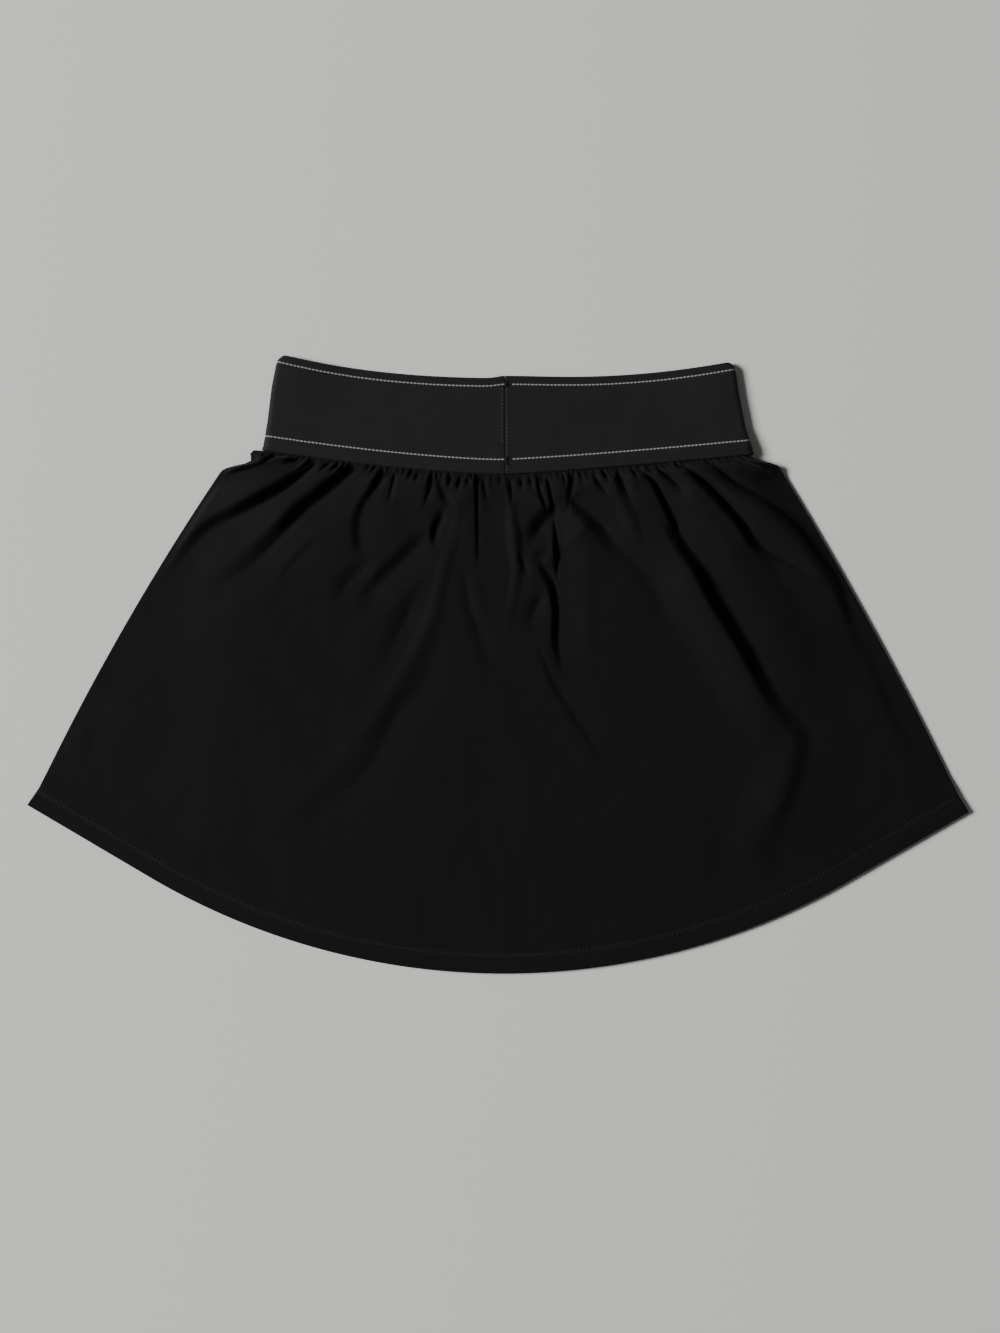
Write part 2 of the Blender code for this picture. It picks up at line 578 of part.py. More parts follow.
def front_bottom(across, distance, x, y):
    """Height of the front panel's lower side, twice: its wall is as thick in its low creases."""
    free = distance - TUCK_CLEARANCE
    lowered = smooth_step(free / TUCK_TO_FLAT)
    lying = FRONT_TUCK_BOTTOM * (1.0 - lowered)
    highest = FRONT_TUCK_BOTTOM + (FRONT_CREASE_LIFT - FRONT_TUCK_BOTTOM) * lowered
    room = highest - lying
    _, lift = crease_relief(FRONT_CREASES + gather_creases(front_gathers()), x, y, room)
    started = smooth_step(free / CREASE_START)
    lifted = lying + started * lift * side_share(across, distance, SIDE_ROUNDING)
    bottom = np.clip(lifted, 0.0, highest)
    return bottom, bottom


# ---------------------------------------------------------------- mesh making


def new_collection(name):
    """A collection linked to the scene."""
    collection = bpy.data.collections.new(name)
    bpy.context.scene.collection.children.link(collection)
    return collection


def dyed_cloth(name, color, roughness):
    """A plain cloth material."""
    material = bpy.data.materials.new(name)
    material.use_nodes = True
    shader = material.node_tree.nodes["Principled BSDF"]
    shader.inputs["Base Color"].default_value = (*color, 1.0)
    shader.inputs["Roughness"].default_value = roughness
    shader.inputs["Metallic"].default_value = 0.0
    return material


def grid_mesh(columns, rows):
    """A flat grid from -1 to 1 each way."""
    grid = bmesh.new()
    bmesh.ops.create_grid(grid, x_segments=columns, y_segments=rows, size=1.0)
    return grid


def grid_places(grid):
    """The grid's own coordinates, as two arrays."""
    places = np.array([vertex.co[:2] for vertex in grid.verts])
    return places[:, 0], places[:, 1]


def move_points(grid, x, y, z):
    """Puts each point of a grid at its place, given in millimetres."""
    for vertex, place in zip(grid.verts, np.column_stack([x, y, z]) * METRES):
        vertex.co = place


def object_from(grid, name, collection, material):
    """A named object with its own material, from a finished bmesh."""
    mesh = bpy.data.meshes.new(name)
    grid.to_mesh(mesh)
    grid.free()
    mesh.materials.append(material)
    mesh.shade_smooth()
    mesh.set_sharp_from_angle(angle=SHARP_ANGLE)
    part = bpy.data.objects.new(name, mesh)
    collection.objects.link(part)
    return part


def thinned(grid, share, scratch):
    """The same surface with fewer triangles, most of them left where it bends."""
    mesh = bpy.data.meshes.new("full")
    grid.to_mesh(mesh)
    grid.free()
    full = bpy.data.objects.new("full", mesh)
    scratch.objects.link(full)
    decimate = full.modifiers.new("thin", "DECIMATE")
    decimate.ratio = share
    decimate.use_collapse_triangulate = True
    evaluated = full.evaluated_get(bpy.context.evaluated_depsgraph_get())
    light = bpy.data.meshes.new_from_object(evaluated)
    surface = bmesh.new()
    surface.from_mesh(light)
    bpy.data.objects.remove(full)
    bpy.data.meshes.remove(mesh)
    bpy.data.meshes.remove(light)
    return surface


def set_walls(grid, walls):
    """Gives each point of a sheet its wall, in millimetres."""
    layer = grid.verts.layers.float.new(WALL_LAYER)
    for vertex, wall in zip(grid.verts, walls):
        vertex[layer] = wall


def thicken(surface, direction):
    """Closes an open sheet into a wall: a copy of it is moved up (1) or down (-1) by the wall."""
    layer = surface.verts.layers.float[WALL_LAYER]
    extruded = bmesh.ops.extrude_face_region(surface, geom=list(surface.faces))
    for item in extruded["geom"]:
        if isinstance(item, bmesh.types.BMVert):
            item.co.z += direction * item[layer] * METRES
    bmesh.ops.recalc_face_normals(surface, faces=surface.faces)


def row_position(place):
    """Grid rows from the top edge down, crowded near the waist: -tuck to 1."""
    tuck = TUCK_DEPTH / PANEL_LENGTH
    return -tuck + (1.0 + tuck) * ((1.0 - place) / 2.0) ** ROW_CROWDING


@dataclass(frozen=True)
class PanelMaking:
    """How one skirt panel is made: its height, the side its wall grows to and its mesh."""

    height_of: Callable
    inset: float
    direction: int
    grid: tuple
    share_kept: float


SKIRT_PANELS = {
    "skirt_back": PanelMaking(back_top, 1.0, -1, BACK_GRID, BACK_SHARE_KEPT),
    "skirt_front": PanelMaking(front_bottom, FRONT_INSET, 1, FRONT_GRID, FRONT_SHARE_KEPT),
}


def skirt_panel(name, making, collection, scratch, material):
    """One gathered panel of the skirt, as a creased wall."""
    grid = grid_mesh(*making.grid)
    across, row = grid_places(grid)
    down = row_position(row)
    x, y = panel_plan(across, down)
    z, lying = making.height_of(across, down * PANEL_LENGTH, x, y)
    move_points(grid, x * making.inset, y * making.inset, z)
    grid.normal_update()
    level = np.array([abs(vertex.normal.z) for vertex in grid.verts])
    wall = CLOTH_WALL + (HEM_WALL - CLOTH_WALL) * at_hem(x, y)
    set_walls(grid, np.minimum(wall / np.maximum(level, 1.0 / TALLEST_WALL), wall + z - lying))
    surface = thinned(grid, making.share_kept, scratch)
    thicken(surface, making.direction)
    return object_from(surface, name, collection, material)


def shorts_panel(name, side, flat_height, tuck_height, collection, material):
    """One quarter of the inner shorts: a flat piece from the waistband to the leg's hem."""
    seam_rows = ((-TUCK_DEPTH, tuck_height), (TUCK_CLEARANCE, tuck_height),
                 (TUCK_CLEARANCE + TUCK_TO_FLAT, flat_height))
    rows = len(seam_rows) + len(SHORTS_SECTIONS) - 1
    grid = grid_mesh(SHORTS_COLUMNS, rows)
    across, down = grid_places(grid)
    share = (across * side + 1.0) / 2.0
    row = np.rint((1.0 - down) / 2.0 * rows).astype(int)
    x, y, z = (np.zeros(share.shape) for _ in range(3))
    for index in range(rows + 1):
        here = row == index
        if index < len(seam_rows):
            below, level = seam_rows[index]
            reach = share[here] * (SHORTS_WAIST_HALF_WIDTH + SHORTS_SIDE_FLARE * max(below, 0.0))
            x[here] = reach + SEAM_GAP / 2.0
            waist_x = SHORTS_CENTRE_X + side * x[here]
            y[here] = BAND_BOTTOM.height(waist_x) - below
        else:
            section = SHORTS_SECTIONS[index - len(seam_rows)]
            level = flat_height
            x[here] = section.inner_x + (section.side_x - section.inner_x) * share[here]
            y[here] = section.inner_y + (section.side_y - section.inner_y) * share[here]
        z[here] = level
    move_points(grid, SHORTS_CENTRE_X + side * x, y, z)
    set_walls(grid, np.full(share.shape, CLOTH_WALL))
    thicken(grid, 1)
    return object_from(grid, name, collection, material)


def band_stations():
    """Stops around the waistband from the centre-back seam and back to it.

    Each is (share, turn): the share of the way from the seam to a side, negative to the left,
    and the turn of the wall, 90 degrees on the back wall and -90 on the front wall.
    """
    quarter = math.pi / 2.0
    right = [(step / BAND_BACK_STEPS, quarter) for step in range(BAND_BACK_STEPS)]
    fold = [(1.0, quarter - math.pi * step / BAND_FOLD_STEPS) for step in range(BAND_FOLD_STEPS)]
    front = [(1.0 - 2.0 * step / BAND_FRONT_STEPS, -quarter) for step in range(BAND_FRONT_STEPS)]
    mirrored = [(-share, turn) for share, turn in reversed(fold)]
    left = [(-share, turn) for share, turn in reversed(right)]
    return right + fold + front + [(-1.0, -quarter)] + mirrored + left


def band_point(share, turn, section, end_gap):
    """A point of the waistband's middle surface."""
    side_radius = (section.side_thickness - BAND_WALL) / 2.0
    inset = BAND_WALL / 2.0 + side_radius
    right_centre, left_centre = section.right - inset, section.left + inset
    side_centre = right_centre if share > 0.0 else left_centre
    x = BAND_SEAM_X + abs(share) * (side_centre - BAND_SEAM_X) + end_gap
    x += math.copysign(side_radius * math.cos(turn), share)
    hollow = float(smooth_step((1.0 - abs(share)) / BAND_HOLLOW_REACH))
    back_height = section.side_thickness
    back_height += (section.middle_thickness - section.side_thickness) * hollow
    radius = (back_height - BAND_WALL) / 2.0
    z = BAND_WALL / 2.0 + radius * (1.0 + math.sin(turn))
    bottom = float(BAND_BOTTOM.height(np.array(x)))
    top = float(BAND_TOP.height(np.array(x)))
    return x, bottom + (top - bottom) * section.level, z


def waistband(collection, material):
    """The elastic waistband: one strip bent into a flattened ring, open at the centre-back seam."""
    stations = band_stations()
    columns, rows = len(stations) - 1, len(BAND_SECTIONS) - 1
    grid = grid_mesh(columns, rows)
    around, level = grid_places(grid)
    column = np.rint((around + 1.0) / 2.0 * columns).astype(int)
    row = np.rint((level + 1.0) / 2.0 * rows).astype(int)
    places = []
    for station, section in zip(column, row):
        share, turn = stations[station]
        end_gap = 0.0
        if station == 0:
            end_gap = SEAM_GAP / 2.0
        elif station == columns:
            end_gap = -SEAM_GAP / 2.0
        places.append(band_point(share, turn, BAND_SECTIONS[section], end_gap))
    x, y, z = np.array(places).T
    move_points(grid, x, y, z)
    band = object_from(grid, "waistband", collection, material)
    wall = band.modifiers.new("elastic", "SOLIDIFY")
    wall.thickness = BAND_WALL * METRES
    wall.offset = 0.0
    wall.use_even_offset = True
    return band


ELASTIC_BLACK = (0.013, 0.013, 0.015)
JERSEY_BLACK = (0.008, 0.008, 0.009)
STRETCH_BLACK = (0.007, 0.007, 0.008)
SHORTS_LAYERS = (
    ("front", SHORTS_FRONT_FLAT, SHORTS_FRONT_TUCK),
    ("back", SHORTS_BACK_FLAT, SHORTS_BACK_TUCK),
)


def main():
    """Builds every piece of the skort."""
    for old in list(bpy.data.objects):
        bpy.data.objects.remove(old)
    garment = new_collection("tennis_skort")
    scratch = new_collection("cutters")
    scratch.hide_render = True

    waistband(garment, dyed_cloth("black_elastic", ELASTIC_BLACK, 0.6))
    for name, making in SKIRT_PANELS.items():
        jersey = dyed_cloth(f"black_jersey_{name}", JERSEY_BLACK, 0.75)
        skirt_panel(name, making, garment, scratch, jersey)
    for layer, flat_height, tuck_height in SHORTS_LAYERS:
        for hand, side in (("left", -1), ("right", 1)):
            name = f"shorts_{layer}_{hand}"
            stretch = dyed_cloth(f"black_stretch_{name}", STRETCH_BLACK, 0.6)
            shorts_panel(name, side, flat_height, tuck_height, garment, stretch)


if __name__ == "__main__":
    main()
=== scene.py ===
"""Looks of a tennis skort that lies flat with its back side up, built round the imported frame.

The skirt panels, the waistband and the inner shorts are closed cloth shells, finer than the
frame's solids and on the same form. One Geometry Nodes tree lays their stitches along the seams.
Sizes are in millimetres, in the frame's axes: +X to the garment's right as it lies, +Y to the
waist, +Z up. Meshes are made in metres.
"""

from __future__ import annotations

import logging
import math
from dataclasses import dataclass, field
from enum import Enum

import bmesh
import bpy
import numpy as np
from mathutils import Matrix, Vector
from mathutils.bvhtree import BVHTree

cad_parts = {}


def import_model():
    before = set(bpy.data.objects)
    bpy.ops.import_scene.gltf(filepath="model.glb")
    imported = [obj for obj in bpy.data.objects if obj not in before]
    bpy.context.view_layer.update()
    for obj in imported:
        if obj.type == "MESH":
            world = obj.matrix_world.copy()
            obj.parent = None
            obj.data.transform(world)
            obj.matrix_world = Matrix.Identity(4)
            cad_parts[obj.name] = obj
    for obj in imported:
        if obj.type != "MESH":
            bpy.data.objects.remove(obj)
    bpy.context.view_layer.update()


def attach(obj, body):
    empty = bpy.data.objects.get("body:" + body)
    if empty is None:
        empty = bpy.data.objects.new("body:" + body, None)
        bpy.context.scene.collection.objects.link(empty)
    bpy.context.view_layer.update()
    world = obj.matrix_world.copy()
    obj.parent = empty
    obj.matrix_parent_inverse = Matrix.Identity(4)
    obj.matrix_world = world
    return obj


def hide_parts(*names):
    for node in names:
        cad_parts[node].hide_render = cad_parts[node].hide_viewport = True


LOG = logging.getLogger("tennis_skort")
MM = 0.001
BODY = "root"


# ---------------------------------------------------------------- small helpers


def smooth_step(value: np.ndarray) -> np.ndarray:
    """Eases from 0 to 1 as the value goes from 0 to 1."""
    eased = np.clip(value, 0.0, 1.0)
    return eased * eased * (3.0 - 2.0 * eased)


def soft_bump(value: np.ndarray) -> np.ndarray:
    """A rounded bump of height 1 at 0 that ends at -1 and 1."""
    return np.clip(1.0 - value * value, 0.0, None) ** 2


@dataclass(frozen=True)
class Sway:
    """A slow wave that makes a repeated size uneven: its share of the size, its rate and start."""

    share: float
    rate: float
    start: float = 0.0


def uneven(index: np.ndarray, sways: tuple[Sway, ...]) -> np.ndarray:
    """Makes a repeated size uneven from one repeat to the next.

    Args:
        index: The number of each repeat.
        sways: The waves of the unevenness.

    Returns:
        A factor of the size for each repeat, about 1.
    """
    factor = np.ones(np.shape(index))
    for sway in sways:
        factor = factor + sway.share * np.sin(sway.rate * index + sway.start)
    return factor


def linear_from_hex(code: str) -> tuple[float, float, float, float]:
    """Turns an sRGB hex colour to linear light.

    Args:
        code: Six hex digits.

    Returns:
        Linear red, green and blue, and an alpha of 1.
    """
    parts = [int(code[index:index + 2], 16) / 255.0 for index in (0, 2, 4)]
    linear = [p / 12.92 if p <= 0.04045 else ((p + 0.055) / 1.055) ** 2.4 for p in parts]
    return (*linear, 1.0)


def placed(name: str, data: bpy.types.ID) -> bpy.types.Object:
    """Makes an object of a mesh, light or camera and puts it in the scene."""
    made = bpy.data.objects.new(name, data)
    bpy.context.scene.collection.objects.link(made)
    return made


def new_material(name: str, **values: object) -> tuple[bpy.types.Material, bpy.types.Node]:
    """Makes a material with a Principled shader.

    Args:
        name: The material's name.
        **values: The shader's constants, by the socket's name in snake case.

    Returns:
        The material and its shader.
    """
    material = bpy.data.materials.new(name)
    material.use_nodes = True
    shader = material.node_tree.nodes["Principled BSDF"]
    by_name = {socket.name.lower().replace(" ", "_"): socket for socket in shader.inputs}
    for key, value in values.items():
        by_name[key].default_value = value
    return material, shader


def add_node(tree: bpy.types.NodeTree, kind: str, settings: dict | None = None,
             **links: object) -> bpy.types.Node:
    """Adds a node with its settings and links.

    Args:
        tree: The node tree that gets the node.
        kind: The node's type name.
        settings: Properties of the node, by name.
        **links: A value or an output socket for each input, by its name in snake case.

    Returns:
        The new node.
    """
    node = tree.nodes.new(kind)
    for name, value in (settings or {}).items():
        setattr(node, name, value)
    by_name: dict[str, bpy.types.NodeSocket] = {}
    for position, socket in enumerate(node.inputs):
        if socket.enabled:
            by_name.setdefault(socket.name.lower().replace(" ", "_"), socket)
        by_name[f"input_{position}"] = socket
    for name, value in links.items():
        if isinstance(value, bpy.types.NodeSocket):
            tree.links.new(value, by_name[name])
        else:
            by_name[name].default_value = value
    return node


# ---------------------------------------------------------------- the band's edges


@dataclass(frozen=True)
class SaggingEdge:
    """A long edge that droops towards its middle and rises to each end."""

    centre_x: float
    low_y: float
    left_reach: float
    left_rise: float
    left_power: float
    right_reach: float
    right_rise: float
    right_power: float

    def height(self, x: np.ndarray) -> np.ndarray:
        """The edge's y at each x."""
        left = np.clip(self.centre_x - x, 0.0, None) / self.left_reach
        right = np.clip(x - self.centre_x, 0.0, None) / self.right_reach
        return (
            self.low_y
            + self.left_rise * left**self.left_power
            + self.right_rise * right**self.right_power
        )


BAND_BOTTOM = SaggingEdge(
    centre_x=4.0, low_y=124.5,
    left_reach=159.5, left_rise=16.1, left_power=1.5,
    right_reach=167.0, right_rise=13.4, right_power=1.2,
)
BAND_TOP = SaggingEdge(
    centre_x=12.0, low_y=188.3,
    left_reach=153.0, left_rise=15.0, left_power=2.4,
    right_reach=144.0, right_rise=11.0, right_power=2.4,
)
SEAM_X = 4.6


# ---------------------------------------------------------------- creases


@dataclass(frozen=True)
class Crease:
    """A fold of a panel: a trough along a route, or a ridge where its depths are negative.

    left and right are how far the cloth slopes to the trough's line from either side at the
    route's start, and spread is how many times wider they are at its end. deep holds the depths
    at even steps from the route's start to its end. wall is the share of the depth that the
    cloth regains in the right slope; it regains the rest slowly beyond it.
    """

    name: str
    left: float
    right: float
    spread: float
    deep: tuple[float, ...]
    wall: float
    route: tuple[tuple[float, float], ...]

    def course(self, step: float = 3.0) -> np.ndarray:
        """Follows a Catmull-Rom curve through the route's points.

        Args:
            step: About how far apart the points are.

        Returns:
            The points, one in each row.
        """
        known = np.array(self.route, dtype=float)
        padded = np.vstack([2 * known[0] - known[1], known, 2 * known[-1] - known[-2]])
        course = []
        for index in range(len(known) - 1):
            before, start, end, after = padded[index:index + 4]
            count = max(2, math.ceil(np.linalg.norm(end - start) / step))
            share = np.arange(count)[:, None] / count
            course.append(0.5 * (
                2 * start + (end - before) * share
                + (2 * before - 5 * start + 4 * end - after) * share**2
                + (3 * start - before - 3 * end + after) * share**3
            ))
        course.append(known[-1:])
        return np.vstack(course)


@dataclass(frozen=True)
class GatherShape:
    """What the gathers share: their slopes, and how they lean away from the centre back."""

    left: float = 2.8
    right: float = 2.0
    spread: float = 1.2
    wall: float = 0.9
    lean: float = math.radians(65.0)
    lean_reach: float = 150.0


@dataclass(frozen=True)
class Gather:
    """A short tuck of the cloth at the band's edge."""

    x: float
    depth: float
    length: float

    def crease(self, name: str, shape: GatherShape = GatherShape()) -> Crease:
        """Turns the gather to a short straight crease that leans away from the centre back.

        Args:
            name: The crease's name.
            shape: What all the gathers share.

        Returns:
            The crease.
        """
        lean = shape.lean * (self.x - SEAM_X) / shape.lean_reach
        y = float(BAND_BOTTOM.height(np.array(self.x)))
        end = (self.x + self.length * math.sin(lean), y - self.length * math.cos(lean))
        deep = (self.depth, self.depth, 0.0)
        return Crease(name, shape.left, shape.right, shape.spread, deep, shape.wall,
                      ((self.x, y), end))


# Each row: name, left, right, spread, deep, wall and route.
BACK_CREASES = (
    Crease("left_corner", 3.2, 8.0, 1.1, (6.0, 8.0, 8.5, 7.5, 4.0), 0.2,
           ((-130, 135), (-138, 132), (-148, 131.5), (-158, 130), (-172, 126), (-184, 121.5))),
    Crease("left_outer", 6.5, 4.5, 1.2, (10.5, 11.0, 11.0, 10.0, 7.0, 3.0, 1.0, 0.0), 0.3,
           ((-119, 132), (-129, 123.5), (-139, 116), (-153, 107.5), (-171, 97.5), (-194, 84),
            (-224, 48))),
    Crease("left_tab", 2.6, 2.0, 1.0, (3.4, 3.0, 0.0), 0.8,
           ((-128, 135), (-132, 131), (-137, 126))),
    Crease("left_inner", 8.0, 4.5, 1.4, (9.0, 10.5, 10.0, 4.2, 2.2, 0.0), 0.3,
           ((-93, 130), (-102, 121.5), (-115, 110.5), (-128, 100), (-144, 82.5), (-165, 63),
            (-193, 45))),
    Crease("left_faint", 9.0, 7.0, 1.0, (0.0, 1.8, 0.0), 0.4, ((-112, 88), (-146, 54))),
    Crease("left_curl", 4.8, 7.0, 1.3, (5.5, 5.0, 3.0, 2.2, 2.0, 1.8, 0.0), 0.15,
           ((-74, 129), (-78, 121), (-83, 112), (-88, 104), (-91, 94), (-91, 82), (-87, 68))),
    Crease("left_curl_foot", 8.0, 6.0, 1.2, (0.0, 2.0, 1.8, 0.0), 0.3,
           ((-80, 70), (-90, 62), (-99, 53), (-107, 40))),
    Crease("left_branch", 8.0, 8.0, 1.1, (0.0, 3.0, 3.4, 3.2, 2.6, 0.0), 0.25,
           ((-44, 87), (-54, 77), (-61, 70), (-67, 64), (-75, 57), (-83, 49), (-95, 41))),
    Crease("left_nick", 5.0, 5.0, 1.0, (0.0, 3.2, 3.4, 3.2, 0.0), 0.4,
           ((-34.5, 102), (-37.5, 95), (-41, 87), (-42, 76))),
    Crease("left_short", 5.5, 3.5, 1.0, (6.0, 5.0, 3.0, 0.0), 0.5,
           ((-67, 129), (-69, 119), (-73, 101))),
    Crease("left_pinch", 2.2, 4.0, 1.2, (3.4, 3.2, 1.8, 0.0), 0.5,
           ((-44.5, 127), (-45, 115), (-49, 102))),
    Crease("middle_pinch", 5.0, 4.0, 1.2, (3.4, 2.6, 3.2, 0.0), 0.5,
           ((-40.5, 125), (-37, 115), (-30.5, 103))),
    Crease("middle_line", 1.5, 3.0, 1.2, (2.0, 1.8, 1.6, 1.3, 1.0, 0.0), 0.3,
           ((-14, 124), (-14, 109), (-13.6, 92), (-13, 60))),
    Crease("middle_soft", 3.0, 3.0, 1.0, (2.4, 2.4, 1.6, 0.0), 0.5,
           ((-10, 123), (-9, 115), (-7, 108), (-2, 101))),
    Crease("long_ridge", 5.5, 6.5, 2.1, (-0.4, -1.4, -0.9, 0.0), 0.0,
           ((-27, 108), (-27, 92), (-37, 57), (-44, 30), (-58, 2), (-76, -28), (-101, -59),
            (-147, -112))),
    Crease("ridge_left_side", 10.0, 8.0, 1.2, (0.0, 2.0, 0.9, 0.0), 0.4,
           ((-45, 62), (-61, 29), (-76, -2), (-90, -24))),
    Crease("ridge_right_side", 9.0, 12.0, 1.4, (0.0, 1.7, 1.0, 0.0), 0.4,
           ((-36, 22), (-50, -12), (-67, -34), (-88, -71), (-117, -95), (-143, -122))),
    Crease("small_ridge", 7.0, 8.0, 1.0, (0.0, -1.0, 0.0), 0.0, ((-17, 62), (-14, 44), (-8, 24))),
    Crease("small_ridge_side", 6.0, 7.0, 1.3, (0.6, 1.3, 0.0), 0.4,
           ((-22, 58), (-18, 36), (-12, 20), (-2, -10))),
    Crease("left_edge_dent", 8.0, 7.0, 1.0, (0.0, 0.9, 0.0), 0.4, ((-263, -30), (-272, -72))),
    Crease("seam_pinch", 4.0, 3.5, 1.0, (2.0, 2.0, 0.0), 0.6, ((8, 122), (10, 102))),
    Crease("seam_ridge", 6.0, 7.0, 1.0, (-1.0, -2.2, -1.2, 0.0), 0.0,
           ((8, 116), (10, 87), (12, 57), (4, 19))),
    Crease("deep_fold_top", 3.4, 1.8, 0.8, (3.6, 3.4, 4.6, 4.0, 4.4, 4.6, 3.2), 0.2,
           ((32, 123), (35, 110), (37, 97), (38, 84), (38.6, 70), (39, 56))),
    Crease("deep_fold_left", 2.0, 3.0, 1.0, (1.8, 1.8, 1.8, 0.0), 0.3,
           ((26, 121), (28, 111), (34, 97))),
    Crease("deep_fold", 5.5, 3.2, 1.0, (0.0, 4.4, 5.2, 4.8, 4.2, 2.8, 1.8, 0.0), 0.2,
           ((25, 69), (30, 62), (36, 54), (38.5, 42), (39.5, 30), (39.5, 12), (44, -8))),
    Crease("deep_fold_dent", 8.0, 5.5, 1.0, (0.0, 6.5, 5.0, 5.0, 1.4, 0.0), 0.3,
           ((41, 105), (36, 99), (30, 93), (24, 85), (17, 76))),
    Crease("deep_fold_hollow", 7.0, 7.0, 1.0, (0.0, 2.4, 0.0), 0.4,
           ((36, 77), (28, 70), (18, 66))),
    Crease("deep_fold_line", 3.0, 3.0, 1.0, (0.0, 1.6, 0.0), 0.4,
           ((14, 76), (16, 67), (21, 57))),
    Crease("deep_fold_foot", 6.5, 6.5, 1.2, (0.0, 2.2, 1.8, 0.0), 0.4,
           ((32, 48), (25, 37), (20, 22))),
    Crease("deep_fold_tail", 2.4, 2.2, 1.4, (0.0, 1.1, 1.4, 1.4, 0.9, 0.0), 0.5,
           ((24, 17), (32.5, -3), (39.5, -17), (48.5, -31), (57.5, -44.5), (72, -68))),
    Crease("right_of_deep", 8.0, 3.0, 0.8, (4.2, 4.0, 3.8, 0.0), 0.3,
           ((49.5, 124), (48, 112), (44.5, 96))),
    Crease("right_soft", 9.0, 7.0, 1.0, (0.0, 6.5, 8.0, 3.4, 1.4, 0.8, 0.7, 0.5, 0.0), 0.3,
           ((40, 113), (52, 105), (61, 98), (69, 90), (76, 80), (84, 70), (97, 57), (104, 45),
            (107, 26))),
    Crease("right_ridge", 7.0, 8.0, 1.2, (-0.8, -1.6, 0.0), 0.0,
           ((74, 119), (82, 104), (90, 86), (101, 70))),
    Crease("right_short", 4.5, 3.5, 1.3, (3.8, 2.6, 0.0), 0.5, ((62, 125), (67, 118), (75, 107))),
    Crease("right_nick", 5.5, 4.0, 1.5, (5.0, 3.6, 0.0), 0.5, ((78, 127), (82, 118), (89, 105))),
    Crease("main_fold_start", 3.4, 3.2, 1.2, (8.0, 9.0, 6.0, 0.0), 0.9,
           ((84, 131), (91, 127.5), (99, 123), (106, 115))),
    Crease("main_fold_top", 3.0, 2.6, 1.2, (7.5, 7.0, 6.0, 5.6, 5.6, 0.0), 0.3,
           ((88, 131), (94.5, 126), (100.5, 121), (104.5, 115), (108, 108), (112.5, 99),
            (118, 89), (125, 78), (133, 64))),
    Crease("main_fold", 9.0, 6.0, 1.3, (6.0, 11.0, 10.5, 9.5, 7.0, 2.8, 3.2, 3.8, 1.6), 0.3,
           ((118, 88), (125, 77), (135.5, 62), (147, 41), (165, 13), (175.5, -6), (183.5, -19),
            (193.5, -31), (204, -44), (206, -56), (202, -75), (194, -97), (182, -120))),
    Crease("main_fold_nick", 5.5, 4.5, 1.3, (7.5, 7.5, 5.0, 2.0, 0.0), 0.6,
           ((101, 132), (107, 126.5), (116, 119.5), (125, 109))),
    Crease("right_inner", 4.8, 3.6, 1.7, (11.0, 11.0, 9.5, 8.5, 7.5, 3.0, 1.4, 0.0), 0.3,
           ((115, 132.5), (127.5, 126), (138, 117.5), (150, 105.5), (160, 95), (168, 83),
            (178, 74.5), (194, 66), (210, 57))),
    Crease("right_outer", 7.2, 5.0, 1.1, (10.5, 11.0, 10.0, 9.2, 7.5, 5.0, 2.0, 0.0), 0.5,
           ((134, 135), (145, 128), (157, 119), (179, 106), (198, 90.5), (212.5, 72), (226, 53),
            (247, 0))),
    Crease("right_edge_line", 7.0, 6.0, 1.0, (0.0, 1.6, 0.0), 0.4,
           ((240, 22), (252, -8), (266, -40), (284, -69))),
    Crease("right_corner", 4.0, 3.6, 1.0, (0.0, 7.0, 8.0, 6.0), 1.0,
           ((180, 126.5), (168, 128.5), (158, 131.5), (149, 136))),
)

# Each row: x, depth and length.
BACK_GATHERS = tuple(Gather(*row) for row in (
    (-148, 3.6, 12), (-142, 4.5, 16), (-118, 4.8, 15), (-108, 4.2, 12), (-102, 4.2, 11),
    (-90, 4.2, 11), (-85, 4.2, 10), (-80, 3.9, 9), (-62, 4.2, 11), (-56, 3.4, 10),
    (-51, 4.2, 10), (-35, 3.6, 9), (-30, 4.8, 12), (-24, 4.8, 13), (-19, 3.9, 9), (2, 2.2, 8),
    (15, 3.9, 11), (21, 3.6, 10), (28, 3.9, 10), (42, 4.2, 12), (53, 4.5, 11), (57, 3.9, 8),
    (68, 4.2, 11), (72, 3.9, 9), (86, 4.2, 11), (97, 4.2, 9), (107, 4.2, 9), (114, 4.8, 10),
    (126, 4.2, 9), (132, 4.2, 9), (142, 4.2, 9), (147, 4.2, 9), (156, 3.9, 10),
))

